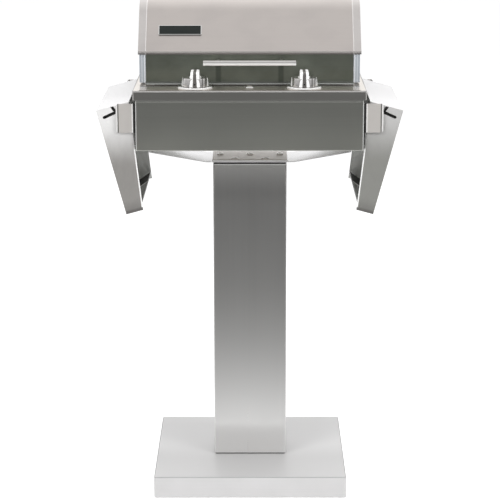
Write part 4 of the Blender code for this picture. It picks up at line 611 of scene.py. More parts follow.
def housingPaintedLight(finish, x, y, z):
    # paler towards the foot in uneven clouds, a painted reflection, with painted highlights on the bends:
    # both upright front corners, the bottom edge, and the strip just under the fascia
    marks = housingMarks
    lowerReflection = (1.0 - z.between(*marks["reflectionTop"])) * (marks["reflectionShare"] + finish.noise(*marks["cloud"]))
    finish.coat(lowerReflection, marks["reflectionTone"])
    front = (-y).between(*marks["front"])
    corners = front * x.size().between(*marks["corner"])
    bottom = (1.0 - z.between(*marks["bottom"])) * marks["bottomShare"]
    finish.coat(corners.atLeast(bottom), *marks["bendPaintedLightCoat"])
    under = z.near(*marks["underFascia"]) * front * marks["underShare"]
    finish.coat(under, *marks["underPaintedLightCoat"])


baseMarks = {
    "rim": (0.2172, 0.2184),
    "rimHeight": (0.0475, 0.0488),
    "rimShare": 0.75,
    "rimCoat": ((0.30, 0.30, 0.30), 0.45),
    "clouds": (0.40, 1.0, 14.0, 4.0),
    "cloudTone": (0.74, 0.73, 0.74),
    "top": (0.0488, 0.0495),
    "topTone": (0.71, 0.705, 0.705),
    "nearer": (-0.04, 0.10),
    "frontShadeTone": (0.585, 0.58, 0.58),
}


def baseCloudsAndPaintedLight(finish, x, y, z):
    # slow wiping clouds, a top painted lighter at the back and darker towards the front as painted light and
    # shade, and a fine line of painted shade along its edges
    marks, top = baseMarks, z.between(*baseMarks["top"])
    finish.coat(finish.clouds(*marks["clouds"]), marks["cloudTone"])
    finish.coat(top, marks["topTone"])
    finish.coat(top * (-y).between(*marks["nearer"]), marks["frontShadeTone"])
    rim = x.size().atLeast(y.size()).between(*marks["rim"]) * z.between(*marks["rimHeight"])
    finish.coat(rim * marks["rimShare"], *marks["rimCoat"])


columnMarks = {
    "foot": (0.06, 0.50),
    "footReflectionTone": (0.93, 0.925, 0.915),
    "rim": (0.7455, 0.7466),
    "bendAside": (0.0815, 0.0830),
    "bendFront": (0.0575, 0.0590),
    "bendShare": 0.55,
    "brightCoat": ((0.80, 0.80, 0.79), 0.40, 0.2),
}


def columnPaintedLight(finish, x, y, z):
    # the sawn rim and the two front bends carry a painted highlight, and the foot of the sheet is paler: a
    # painted reflection of the base
    marks = columnMarks
    finish.coat(1.0 - z.between(*marks["foot"]), marks["footReflectionTone"])
    bends = x.size().between(*marks["bendAside"]) * (-y).between(*marks["bendFront"]) * marks["bendShare"]
    finish.coat(z.between(*marks["rim"]).atLeast(bends), *marks["brightCoat"])


cradleMarks = {
    "inner": (0.095, 0.165),
    "innerShadeTone": (0.75, 0.745, 0.75),
    "frontEdge": (0.0588, 0.0596),
    "edgeShare": 0.85,
    "edgeHighlightCoat": ((0.82, 0.81, 0.81), 0.4, 0.1),
}


def cradlePaintedLight(finish, x, y, z):
    # painted shade darkens the wings towards the middle, and their front cut edges carry a painted highlight
    marks = cradleMarks
    finish.coat(1.0 - x.size().between(*marks["inner"]), marks["innerShadeTone"])
    finish.coat((-y).between(*marks["frontEdge"]) * marks["edgeShare"], *marks["edgeHighlightCoat"])


capMarks = {
    "headRise": 0.0068,
    "headSoftness": 0.0004,
    "headCoat": ((0.97, 0.96, 0.95), 0.16, 1.0),
    "frontEdge": (0.0586, 0.0596),
    "edgeShare": 0.85,
    "edgeHighlightCoat": ((0.84, 0.84, 0.84), 0.4, 0.1),
}


def capHeadsAndHighlight(finish, x, y, z):
    # the front edge carries a painted highlight, and the screw heads are bright polished steel
    marks = capMarks
    heads = z.above(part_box("cradle")[0].z + marks["headRise"], marks["headSoftness"])
    finish.coat(heads, *marks["headCoat"])
    finish.coat((-y).between(*marks["frontEdge"]) * marks["edgeShare"], *marks["edgeHighlightCoat"])


bracketMarks = {
    "plate": (0.1870, 0.0006),
    "shade": (0.2898, 0.0009, 0.0006),
    "shadeCoat": ((0.05, 0.05, 0.045), 0.6, 0.0),
    "outerEdge": (0.2908, 0.2912),
    "outerCoat": ((0.70, 0.69, 0.68), 0.45, 0.1),
    "root": (0.2566, 0.2574),
    "rootShadeCoat": ((0.03, 0.03, 0.03), 0.6, 0.0),
    "bend": (0.2584, 0.0007, 0.0005),
    "bendShare": 0.9,
    "bendPaintedLightCoat": ((0.86, 0.855, 0.85), 0.4, 0.0),
}


def bracketEdgesAndPaintedLight(finish, x, y, z):
    # painted shade at both sides of the plate and in the gap next to the housing, a pale outer edge, and a
    # painted highlight down its bend
    marks, side = bracketMarks, x.size()
    plate = y.size().above(*marks["plate"])
    finish.coat(plate * side.near(*marks["shade"]), *marks["shadeCoat"])
    finish.coat(plate * side.between(*marks["outerEdge"]), *marks["outerCoat"])
    finish.coat(1.0 - side.between(*marks["root"]), *marks["rootShadeCoat"])
    finish.coat(plate * side.near(*marks["bend"]) * marks["bendShare"], *marks["bendPaintedLightCoat"])


shelfMarks = {
    "pivot": (0.2897, 0.890),
    "fold": math.radians(105.2),
    "innerEdge": -0.0138,
    "outerEdge": 0.2282,
    "topFace": 0.047,
    "lean": math.radians(20.7),
    "flangeFoot": (-0.028, 0.008),
    "web": (0.1810, 0.0004),
    "webTone": (0.76, 0.755, 0.76),
    "underDepth": 0.0010,
    "underFrom": 0.0018,
    "underSoftness": 0.0003,
    "underPaintedLightCoat": ((0.50, 0.50, 0.49), 0.5),
    "nearPivot": (0.075, 0.100),
    "pivotShadeCoat": ((0.05, 0.05, 0.05), 0.6),
    "inLip": (-0.0016, 0.0005, 0.0003),
    "inLipReflectionCoat": ((0.50, 0.51, 0.49), 0.5),
    "inLipPale": (0.052, 0.056),
    "inLipHighlightCoat": ((0.95, 0.95, 0.94), 0.4),
    "inLipDark": (0.070, 0.074),
    "inLipDarkReflectionCoat": ((0.045, 0.045, 0.042), 0.7),
    "inFlange": (0.1823, 0.0007, 0.0003),
    "inFlangeCoat": ((0.90, 0.91, 0.88), 0.5),
    "flange": (0.1826, 0.0004),
    "rightSide": (-0.01, 0.01),
    "rightDrop": 0.01,
    "shade": (0.760, 0.872),
    "leftTones": ((0.258, 0.248, 0.236), (0.72, 0.715, 0.71)),
    "rightTones": ((0.232, 0.232, 0.216), (0.47, 0.465, 0.46)),
    "mottle": (0.45, 1.0, 60.0, 4.0, (1.0, 1.0, 0.4)),
    "mottleTone": (0.20, 0.195, 0.19),
    "end": (0.196, 0.2240),
    "endShare": 0.4,
    "endShadeTone": (0.11, 0.105, 0.10),
    "toe": (0.2185, 0.2245),
    "toeShare": 0.7,
    "toeTone": (0.10, 0.095, 0.09),
    "hem": (0.0024, 0.0030),
    "hemFrom": (0.086, 0.094),
    "hemTo": (0.2200, 0.2230),
    "hemHighlightCoat": ((0.90, 0.90, 0.89), 0.45),
    "lipEdge": (0.0060, 0.0014, 0.0005),
    "lipWidth": (0.1815, 0.0003),
    "lipFrom": (0.19, 0.001),
    "lipHighlightCoat": ((0.86, 0.86, 0.86), 0.45),
}


def shelfWearAndPaintedLight(finish, x, y, z):
    # run and rise are measured along and across the shelf from its pivot; the underside carries painted
    # shade, darkest near the pivot, and the inside of the lip a painted reflection; the flanges carry a
    # painted reflection that darkens downwards, darker on the right, with painted shade towards the end, a
    # darker toe and a painted highlight along the rolled hem; the lip's edge carries a painted highlight
    marks = shelfMarks
    side, inner, outer, top = y.size(), marks["innerEdge"], marks["outerEdge"], marks["topFace"]
    across, down = x.size() - marks["pivot"][0], z - marks["pivot"][1]
    cosine, sine = math.cos(marks["fold"]), math.sin(marks["fold"])
    run, rise = across * cosine - down * sine, across * sine + down * cosine
    finish.coat(1.0 - side.above(*marks["web"]), marks["webTone"])
    soft = marks["underSoftness"]
    underside = rise.under(top - marks["underDepth"], soft) * run.above(inner + marks["underFrom"], soft)
    finish.coat(underside, *marks["underPaintedLightCoat"])
    finish.coat(underside * (1.0 - run.between(*marks["nearPivot"])), *marks["pivotShadeCoat"])
    past = run - outer + (top - rise) * math.tan(marks["lean"])
    inLip = past.near(*marks["inLip"]) * underside
    finish.coat(inLip, *marks["inLipReflectionCoat"])
    finish.coat(inLip * y.between(*marks["inLipPale"]), *marks["inLipHighlightCoat"])
    finish.coat(inLip * y.between(*marks["inLipDark"]), *marks["inLipDarkReflectionCoat"])
    finish.coat(side.near(*marks["inFlange"]), *marks["inFlangeCoat"])

    flange = side.above(*marks["flange"])
    right = x.between(*marks["rightSide"])
    paler = (z - right * marks["rightDrop"]).between(*marks["shade"])
    leftShade = finish.blend(paler, *marks["leftTones"])
    rightShade = finish.blend(paler, *marks["rightTones"])
    finish.coat(flange, finish.blend(right, leftShade, rightShade))
    finish.coat(flange * finish.clouds(*marks["mottle"]) * (1.0 - paler), marks["mottleTone"])
    finish.coat(flange * run.between(*marks["end"]) * marks["endShare"], marks["endShadeTone"])
    finish.coat(flange * run.between(*marks["toe"]) * marks["toeShare"], marks["toeTone"])
    start, end = marks["flangeFoot"]
    foot = start + (run - inner) * ((end - start) / (outer - inner))
    hem = 1.0 - (rise - foot).between(*marks["hem"])
    hem = hem * flange * run.between(*marks["hemFrom"]) * (1.0 - run.between(*marks["hemTo"]))
    finish.coat(hem, *marks["hemHighlightCoat"])
    lip = rise.near(*marks["lipEdge"]) * (1.0 - side.above(*marks["lipWidth"])) * run.above(*marks["lipFrom"])
    finish.coat(lip, *marks["lipHighlightCoat"])


bothGrates = ("cooking_grate_left", "cooking_grate_right")
bothElements = ("heating_element_left", "heating_element_right")
allBrackets = ("shelf_bracket_front_left", "shelf_bracket_front_right",
               "shelf_bracket_rear_left", "shelf_bracket_rear_right")
satinNodes = ("grate_rail_front", "grate_rail_rear", "hinge_bracket_left", "hinge_bracket_right",
              "rear_baffle", "rear_panel", "tray_runner_left", "tray_runner_right")

# each finish: how it is made, colour, roughness, the rest of its settings, and the nodes that have it
finishSettings = {
    "hoodSteel": (brushedMetal, (0.61, 0.565, 0.54), 0.34, {"along": "x", "wearAndPaintedLight": slopeCloudsAndPaintedLight},
                  ("hood_skin",)),
    "frontSteel": (brushedMetal, (0.315, 0.337, 0.285), 0.38,
                   {"along": "x", "grain": 0.12, "metallic": 0.92, "wearAndPaintedLight": frontCloudsAndPostReflections}, ("hood_front",)),
    "lipSteel": (brushedMetal, (0.13, 0.135, 0.125), 0.45, {"along": "x", "metallic": 0.6, "wearAndPaintedLight": lipNoseHighlight},
                 ()),
    "endSteel": (brushedMetal, (0.62, 0.62, 0.61), 0.34, {"along": "y", "wearAndPaintedLight": endStripAndHighlights},
                 ("hood_end_left", "hood_end_right")),
    "handleSteel": (brushedMetal, (0.52, 0.51, 0.50), 0.32,
                    {"along": "x", "grain": 0.02, "metallic": 0.8, "wearAndPaintedLight": handleUndersideReflection},
                    ("handle_bar", "handle_post_left", "handle_post_right")),
    "postSteel": (brushedMetal, (0.26, 0.275, 0.24), 0.42, {"along": "y"}, ()),
    "ledgeSteel": (brushedMetal, (0.93, 0.86, 0.79), 0.30, {"along": "x", "wearAndPaintedLight": ledgeShadowAndHighlight},
                   ("control_panel",)),
    "frameSteel": (brushedMetal, (0.65, 0.64, 0.61), 0.30, {"along": "x", "wearAndPaintedLight": frameFinishAndHighlights},
                   ("top_frame",)),
    "housingSteel": (brushedMetal, (0.655, 0.665, 0.615), 0.34, {"along": "x", "wearAndPaintedLight": housingPaintedLight},
                     ("housing_shell",)),
    "columnSteel": (brushedMetal, (0.70, 0.695, 0.68), 0.30, {"along": "z", "wearAndPaintedLight": columnPaintedLight},
                    ("column_tube",)),
    "baseSteel": (brushedMetal, (0.655, 0.65, 0.65), 0.45,
                  {"along": "x", "metallic": 0.1, "wearAndPaintedLight": baseCloudsAndPaintedLight}, ("base_shell",)),
    "capSteel": (brushedMetal, (0.92, 0.86, 0.83), 0.34, {"along": "x", "metallic": 0.5, "wearAndPaintedLight": capHeadsAndHighlight},
                 ("column_cap_plate",)),
    "cradleSteel": (brushedMetal, (0.97, 0.96, 0.97), 0.16,
                    {"along": "x", "grain": 0.02, "wearAndPaintedLight": cradlePaintedLight}, ("cradle",)),
    "bracketSteel": (brushedMetal, (0.68, 0.65, 0.62), 0.40,
                     {"along": "z", "metallic": 0.45, "wearAndPaintedLight": bracketEdgesAndPaintedLight}, allBrackets),
    "satinSteel": (brushedMetal, (0.60, 0.59, 0.57), 0.40, {"along": "x"}, satinNodes),
    "traySteel": (brushedMetal, (0.62, 0.62, 0.61), 0.42, {"along": "x", "smearAndPaintedReflection": 0.12},
                  ("grease_tray", "heat_reflector")),
    "heatSteel": (brushedMetal, (0.50, 0.49, 0.47), 0.45, {"along": "y", "smearAndPaintedReflection": 0.16}, ("firebox_tub",)),
    # near black so that the gaps at the column's foot and head read as shade: painted shade
    "darkSteel": (brushedMetal, (0.045, 0.045, 0.043), 0.60, {"along": "x", "smearAndPaintedReflection": 0.12, "metallic": 0.3},
                  ("column_foot_plate", "column_head_plug")),
    "rodSteel": (brushedMetal, (0.34, 0.33, 0.32), 0.36, {"along": "y", "smearAndPaintedReflection": 0.12}, bothGrates),
    "elementSheath": (brushedMetal, (0.10, 0.10, 0.095), 0.48,
                      {"along": "y", "smearAndPaintedReflection": 0.2, "metallic": 0.7}, bothElements),
    "shelfPaint": (paintedSheet, (0.80, 0.80, 0.80), 0.36, {"wearAndPaintedLight": shelfWearAndPaintedLight},
                   ("shelf_left", "shelf_right")),
    "blackPlate": (paintedSheet, (0.010, 0.013, 0.012), 0.34, {"speckle": 0.2, "gloss": 0.2},
                   ("name_plate",)),
    "blackMark": (paintedSheet, (0.010, 0.010, 0.010), 0.5, {"speckle": 0.2}, ()),
    "knobMetal": (polishedMetal, (0.68, 0.665, 0.655), 0.20, {"wearAndPaintedLight": knobFinishAndHighlights},
                  ("knob_left", "knob_right")),
    "bezelMetal": (polishedMetal, (0.76, 0.75, 0.74), 0.22, {"wearAndPaintedLight": bezelHighlight},
                   ("knob_bezel_left", "knob_bezel_right")),
    "chrome": (polishedMetal, (0.84, 0.84, 0.83), 0.10, {},
               ("hinge_pin_left", "hinge_pin_right", "lamp_bezel")),
    "brassTail": (polishedMetal, (0.70, 0.55, 0.28), 0.24, {}, ("knob_shaft_left", "knob_shaft_right")),
    "mouldedBlack": (mouldedPlastic, (0.02, 0.02, 0.021), 0.5, {},
                     ("cable_gland", "control_left", "control_right")),
    "castBallast": (mouldedPlastic, (0.05, 0.05, 0.052), 0.75, {"texture": 160.0}, ("base_ballast",)),
    "rubber": (mouldedPlastic, (0.014, 0.014, 0.014), 0.72, {"texture": 240.0},
               ("hood_rest_strip", "shelf_bumper_left", "shelf_bumper_right")),
    "ceramic": (mouldedPlastic, (0.72, 0.69, 0.62), 0.45, {"texture": 380.0},
                ("terminal_block_left", "terminal_block_right")),
    "leadSheath": (mouldedPlastic, (0.035, 0.035, 0.036), 0.42, {"texture": 520.0}, ("supply_lead",)),
    "lens": (lampGlass, (0.34, 0.32, 0.29), 0.12, {}, ("pilot_lamp",)),
}

finishes, coloured = {}, 0
for finishName, (make, colour, roughness, others, nodeNames) in finishSettings.items():
    finishes[finishName] = make(finishName, colour, roughness, **others)
    for nodeName in nodeNames:
        held = nodes[nodeName].data.materials
        for place in range(max(1, len(held))):
            if place < len(held):
                held[place] = finishes[finishName]
            else:
                held.append(finishes[finishName])
        coloured += 1
print("stage: finishes on", coloured, "nodes")


def roundedOutline(width, depth, radius, steps=6):
    # four quarter circles at the corners of a rectangle, joined by its straight sides
    turn = np.arange(4)[:, None] * (math.pi / 2) + np.linspace(0, math.pi / 2, steps + 1)
    x = np.array([1, -1, -1, 1])[:, None] * (width / 2 - radius) + radius * np.cos(turn)
    y = np.array([1, 1, -1, -1])[:, None] * (depth / 2 - radius) + radius * np.sin(turn)
    return np.stack([x, y], axis=-1).reshape(-1, 2)


def boatOutline(width, nose, length, radius, fullness, steps):
    # half width falls from the middle to the nose as 1 - |y / half length| ** fullness; each end is flat,
    # with round corners
    half = length / 2 - radius
    y = half * np.sin(np.linspace(-math.pi / 2, math.pi / 2, 2 * steps + 1))
    x = nose / 2 + (width - nose) / 2 * (1.0 - np.abs(y / half) ** fullness)
    turn = np.linspace(0, math.pi / 2, 5)[1:]
    cornerX = nose / 2 - radius + radius * np.cos(turn)
    cornerY = half + radius * np.sin(turn)
    front = np.stack([cornerX, -cornerY], axis=1)[::-1]
    right = np.concatenate([front, np.stack([x, y], axis=1), np.stack([cornerX, cornerY], axis=1)])
    return np.concatenate([right, -right])


def filletedLine(corners, radii, steps):
    # straight runs joined by arcs: each arc touches both runs at radius * tan(half the turn) from its corner
    corners = [np.array(c, dtype=float) for c in corners]
    parts = [corners[0][None]]
    for before, here, after, radius in zip(corners, corners[1:], corners[2:], radii):
        into, away = here - before, after - here
        into, away = into / np.linalg.norm(into), away / np.linalg.norm(away)
        turn = math.acos(float(np.clip(into @ away, -1, 1)))
        reach = radius * math.tan(turn / 2)
        side = into[0] * away[1] - into[1] * away[0]
        normal = np.array([-into[1], into[0]]) * (1 if side > 0 else -1)
        centre = here - into * reach + normal * radius
        swing = np.linspace(0, turn, steps + 1)[:, None]
        parts.append(centre - normal * radius * np.cos(swing) + into * radius * np.sin(swing))
    parts.append(corners[-1][None])
    return np.concatenate(parts)


def offsetLine(line, distance):
    # every point moves along the mean of its neighbours' normals, further at a bend
    run = np.diff(line, axis=0)
    run = run / np.linalg.norm(run, axis=1)[:, None]
    normal = np.stack([-run[:, 1], run[:, 0]], axis=1)
    mean = np.concatenate([normal[:1], normal[:-1] + normal[1:], normal[-1:]])
    mean = mean / np.linalg.norm(mean, axis=1)[:, None]
    reach = np.concatenate([[1.0], np.sum(mean[1:-1] * normal[1:], axis=1), [1.0]])
    return line + mean * (distance / reach)[:, None]


def gridShell(points, caps=True, loop=False):
    # points[row, column]: columns run round, rows follow each other and close on themselves (loop) or are
    # closed by a face at each end (caps)
    rows, columns = points.shape[:2]
    index = np.arange(rows * columns).reshape(rows, columns)
    upper = np.roll(index, -1, axis=0) if loop else index[1:]
    lower = index if loop else index[:-1]
    quads = np.stack([lower, np.roll(lower, -1, axis=1), np.roll(upper, -1, axis=1), upper], axis=-1)
    faces = quads.reshape(-1, 4).tolist()
    if caps and not loop:
        faces += [index[0, ::-1].tolist(), index[-1].tolist()]
    return points.reshape(-1, 3), faces


def alongX(section, station):
    return np.stack([station, section[..., 0], section[..., 1]], axis=-1)


def carried(section, stations, place=alongX):
    # the same section at every station
    shape = (len(stations), len(section))
    return place(np.broadcast_to(section, (*shape, 2)), np.broadcast_to(np.array(stations)[:, None], shape))


def stripShell(line, thickness, stations, place=alongX):
    # a sheet: the line and its offset make one loop, carried through the stations; quads close both ends
    back = offsetLine(line, thickness)
    section = np.concatenate([line, back[::-1]])
    count = len(section)
    flat, faces = gridShell(carried(section, stations, place), caps=False)
    here = np.arange(len(line) - 1)
    first = np.stack([here, count - 1 - here, count - 2 - here, here + 1], axis=-1)
    last = first[:, ::-1] + count * (len(stations) - 1)
    return flat, faces + first.tolist() + last.tolist()


def ring(outline, height, shift=(0.0, 0.0)):
    return np.concatenate([outline + np.array(shift), np.full((len(outline), 1), height)], axis=1)


def turnedShell(profile, sides, place, loop=False):
    # each radius and height of the profile swung round a full circle; a profile that closes on itself (loop)
    # gives a ring with a hole
    profile = np.array(profile, dtype=float)
    turn = np.linspace(0, 2 * math.pi, sides, endpoint=False)
    x = profile[:, :1] * np.cos(turn)
    y = profile[:, :1] * np.sin(turn)
    z = np.broadcast_to(profile[:, 1:], x.shape)
    return gridShell(place(np.stack([x, y, z], axis=-1)), loop=loop)


poleRadius = 0.00005    # a turned shape ends in a tiny face instead of a point


def standAt(x, y, z=0.0):
    # moves a shape that was worked out about the origin to its own place
    return lambda points: points + np.array([x, y, z])


def rightWayOut(points, faces):
    # the signed volume of a closed shell, by fans, tells whether its faces point out
    total = 0.0
    byCount = {}
    for face in faces:
        byCount.setdefault(len(face), []).append(face)
    for count, group in byCount.items():
        corner = points[np.array(group)]
        for k in range(1, count - 1):
            total += np.sum(corner[:, 0] * np.cross(corner[:, k], corner[:, k + 1]))
    return faces if total > 0 else [face[::-1] for face in faces]


def makePiece(name, shells, finishName, body, standsFor=(), sharp=30.0, second=None):
    # second is another finish and the numbers of the shells that have it
    points, faces, marks = [], [], []
    start = 0
    for place, (shellPoints, shellFaces) in enumerate(shells):
        for face in rightWayOut(shellPoints, shellFaces):
            faces.append([start + corner for corner in face])
        marks += [1 if second and place in second[1] else 0] * len(shellFaces)
        points.append(shellPoints)
        start += len(shellPoints)
    mesh = bpy.data.meshes.new(name)
    mesh.from_pydata(np.concatenate(points).tolist(), [], faces)
    mesh.materials.append(finishes[finishName])
    if second:
        mesh.materials.append(finishes[second[0]])
        mesh.polygons.foreach_set("material_index", marks)
    mesh.shade_smooth()
    mesh.set_sharp_from_angle(angle=math.radians(sharp))
    mesh.update()
    piece = bpy.data.objects.new(name, mesh)
    bpy.context.scene.collection.objects.link(piece)
    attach(piece, body)
    if standsFor:
        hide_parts(*standsFor)
    return piece


hoodSettings = {
    "sheet": 0.0012,
    "foot": 1.005,
    "slope": math.radians(48.7),
    "bendHeight": 1.0115,
    "bendRadius": 0.006,
    "topRadius": 0.071,
    "rearRadius": 0.060,
    "arcSteps": 16,
    "edgeSteps": (0.0, 0.0003, 0.0008, 0.0020),
    "edgeSink": 0.0003,
    "seamInset": 0.0178,
    "seamSteps": (0.0012, 0.0005, -0.0005, -0.0012, -0.004),
    "seamDepth": 0.0004,
    "plainHalf": 0.2,
    "plainSteps": 17,
}


def makeHoodSkin(settings):
    # lip, slope, flat top and back, joined by arcs, carried from end to end; the edges are eased, and a
    # shallow seam line runs near each end
    low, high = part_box("hood_skin")
    rise = high.z - settings["bendHeight"]
    corners = [
        (low.y, settings["foot"]),
        (low.y, settings["bendHeight"]),
        (low.y + rise / math.tan(settings["slope"]), high.z),
        (high.y, high.z),
        (high.y, low.z),
    ]
    radii = [settings[k] for k in ("bendRadius", "topRadius", "rearRadius")]
    line = filletedLine(corners, radii, settings["arcSteps"])
    edges = high.x - np.array(settings["edgeSteps"])
    seams = high.x - settings["seamInset"] + np.array(settings["seamSteps"])
    half = np.concatenate([edges, seams])
    plain = np.linspace(-settings["plainHalf"], settings["plainHalf"], settings["plainSteps"])
    stations = np.concatenate([-half, plain, half[::-1]])
    depth = settings["seamDepth"]
    sinkHalf = np.array([settings["edgeSink"], 0.0, 0.0, 0.0, 0.0, depth, depth, 0.0, 0.0])
    sink = np.concatenate([sinkHalf, np.zeros(len(plain)), sinkHalf[::-1]])

    def place(section, station):
        small = 0.001
        inner = (offsetLine(line, -small) - line) / small
        return alongX(section + np.concatenate([inner, inner[::-1]])[None] * sink[:, None, None], station)

    shells = [stripShell(line, -settings["sheet"], stations, place)]
    makePiece("hoodSkin", shells, "hoodSteel", "hood", ("hood_skin",))


makeHoodSkin(hoodSettings)

frontSettings = {
    "sheet": 0.0012,
    "hemDepth": 0.0034,
    "hemRise": 0.012,
    "hemRadius": 0.0016,
    "arcSteps": 8,
    "edge": 0.0004,
    "plainHalf": 0.22,
    "plainSteps": 12,
    "lipReach": 0.0158,
    "lipHeight": 0.0012,
    "lipNose": 0.0008,
    "lipSwing": (-90, 80),
    "lipFoot": (0.0002, 0.0004),
    "lipShoulder": (-0.0010, 0.0030),
    "lipHead": (0.0002, 0.0046),
}


def makeHoodFront(settings):
    # an upright sheet whose lower edge is rolled under and back up inside, and a drip lip along its foot: a
    # wedge with a rounded nose, carried from end to end
    low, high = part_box("hood_front")
    corner = np.array([low.y, low.z])
    inside = low.y + settings["hemDepth"]
    corners = [(low.y, high.z), (low.y, low.z), (inside, low.z), (inside, low.z + settings["hemRise"])]
    line = filletedLine(corners, (settings["hemRadius"], settings["hemRadius"]), settings["arcSteps"])
    edge = settings["edge"]
    plain = np.linspace(-settings["plainHalf"], settings["plainHalf"], settings["plainSteps"])
    stations = np.concatenate([[low.x, low.x + edge], plain, [high.x - edge, high.x]])
    swing = np.linspace(*np.radians(settings["lipSwing"]), 8)
    arc = settings["lipNose"] * np.stack([-np.cos(swing), np.sin(swing)], axis=1)
    nose = corner + np.array([-settings["lipReach"], settings["lipHeight"]]) + arc
    others = [corner + np.array(settings[k]) for k in ("lipFoot", "lipShoulder", "lipHead")]
    wedge = np.concatenate([others[:1], nose, others[1:]])
    shells = [stripShell(line, settings["sheet"], stations), gridShell(carried(wedge, stations))]
    second = ("lipSteel", (1,))
    makePiece("hoodFront", shells, "frontSteel", "hood", ("hood_front",), second=second)


makeHoodFront(frontSettings)

handleSettings = {
    "radius": 0.00575,
    "edge": 0.0010,
    "edgeSteps": 6,
    "plainInset": 0.01,
    "plainSteps": 7,
    "sides": 40,
    "postRadius": 0.0050,
    "postTip": 0.0048,
    "postX": 0.070,
    "postInset": 0.0030,
    "postSink": 0.0003,
    "postSides": 32,
    "collarRadius": 0.0055,
    "collarLength": 0.0016,
    "collarFillet": 0.0004,
    "ease": 0.0003,
}


def makeHandle(settings):
    # a bar turned about X with eased ends, and two posts turned about Y with a low collar at the sheet
    low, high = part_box("handle_bar")
    edge, radius, inset, count = (settings[k] for k in ("edge", "radius", "plainInset", "plainSteps"))
    centreY, centreZ = low.y + radius, high.z - radius
    swing = np.linspace(0, math.pi / 2, settings["edgeSteps"])
    start = np.stack([radius - edge + edge * np.sin(swing), low.x + edge - edge * np.cos(swing)], axis=1)
    end = np.stack([radius - edge + edge * np.cos(swing), high.x - edge + edge * np.sin(swing)], axis=1)
    middle = np.stack([np.full(count, radius), np.linspace(low.x + inset, high.x - inset, count)], axis=1)
    profile = np.concatenate([[[poleRadius, low.x]], start, middle, end, [[poleRadius, high.x]]])

    def lie(points):
        return np.stack([points[..., 2], centreY + points[..., 0], centreZ + points[..., 1]], axis=-1)

    shells = [turnedShell(profile, settings["sides"], lie)]
    makePiece("handleBar", shells, "handleSteel", "hood", ("handle_bar",))

    post, collar, small = settings["postRadius"], settings["collarRadius"], settings["ease"]
    front = centreY + radius - settings["postInset"]
    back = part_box("hood_front")[0].y - settings["postSink"]
    step = back - settings["collarLength"]
    line = [
        (poleRadius, front), (settings["postTip"], front), (post, front + small), (post, step - 2 * small),
        (post + settings["collarFillet"], step), (collar - small, step), (collar, step + small),
        (collar, back), (poleRadius, back),
    ]
    for x, word in ((-settings["postX"], "Left"), (settings["postX"], "Right")):
        def stand(points):
            return np.stack([x + points[..., 0], points[..., 2], centreZ + points[..., 1]], axis=-1)

        shells = [turnedShell(line, settings["postSides"], stand)]
        standsFor = ("handle_post_" + word.lower(),)
        makePiece("handlePost" + word, shells, "postSteel", "hood", standsFor)


makeHandle(handleSettings)

plateSettings = {
    "width": 0.0965,
    "height": 0.0255,
    "thickness": 0.0028,
    "rim": 0.0016,
    "recess": 0.0008,
    "corner": 0.0022,
    "tightest": 0.0004,
    "gap": 0.0003,
    "x": -0.156,
    "upSlope": 0.0566,
}


def makeNamePlate(settings):
    # a bare plate in a bright rim: rounded rings stepped in and out, laid on the slope
    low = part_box("hood_skin")[0]
    slope = hoodSettings["slope"]
    upward = np.array([0.0, math.cos(slope), math.sin(slope)])
    outward = np.array([0.0, -math.sin(slope), math.cos(slope)])
    origin = np.array([settings["x"], low.y, hoodSettings["bendHeight"]])
    origin = origin + upward * settings["upSlope"] + outward * settings["gap"]
    width, height, top, rim = (settings[k] for k in ("width", "height", "thickness", "rim"))
    field = top - settings["recess"]

    def laidRings(steps):
        # each step is how far in from the edge and how high
        rings = []
        for inset, rise in steps:
            radius = max(settings["corner"] - inset, settings["tightest"])
            rings.append(ring(roundedOutline(width - 2 * inset, height - 2 * inset, radius), rise))
        points = np.stack(rings)
        across = points[..., :1] * np.array([1.0, 0.0, 0.0])
        return [gridShell(origin + across + points[..., 1:2] * upward + points[..., 2:] * outward)]

    rimSteps = [(0, 0), (0, top - 0.0006), (0.0002, top - 0.0002), (0.0006, top), (rim - 0.0004, top),
                (rim - 0.0001, top - 0.0002), (rim, field - 0.0002), (rim + 0.001, field - 0.0002)]
    fieldSteps = [(rim + 0.0001, field - 0.0004), (rim + 0.0001, field - 0.0001), (rim + 0.0005, field)]
    makePiece("plateRim", laidRings(rimSteps), "chrome", "hood", ("name_plate",))
    makePiece("plateField", laidRings(fieldSteps), "blackPlate", "hood", ())


makeNamePlate(plateSettings)
print("stage: hood")

knobSettings = {
    "bezelRadius": 0.0395,
    "bezelHole": 0.0045,
    "bezelInner": 0.0318,
    "sides": 72,
    "sharp": 34.0,
    "skirtHole": 0.0036,
    "skirtRadius": 0.0296,
    "rimRadius": 0.0278,
    "skirtTop": 0.961,
    "wallFoot": 0.0022,
    "wallCurve": 1.5,
    "wallSteps": 9,
    "dish": 0.003,
    "gripFoot": 0.0003,
    "gripTop": 0.9752,
    "gripBase": (0.025, 0.0625, 0.0125),     # width, length and nose of the grip at its foot
    "gripCrown": (0.0185, 0.055, 0.0100),    # and at its crown
    "gripCorner": 0.0012,
    "gripFullness": 28,
    "gripSteps": 18,
    "climb": (0.0, 0.01, 0.15, 0.3, 0.45, 0.6, 0.75, 0.88, 0.96, 0.98, 0.992, 0.998, 1.0),
    "drawIn": (0.0004, 0.0, 0.0, 0.0, 0.0, 0.0, 0.0, 0.0, 0.0, 0.0002, 0.0006, 0.0011, 0.0018),
    "markRadius": 0.0019,
    "markHeight": 0.949,
    "markSink": 0.0015,
    "markSides": 20,
}


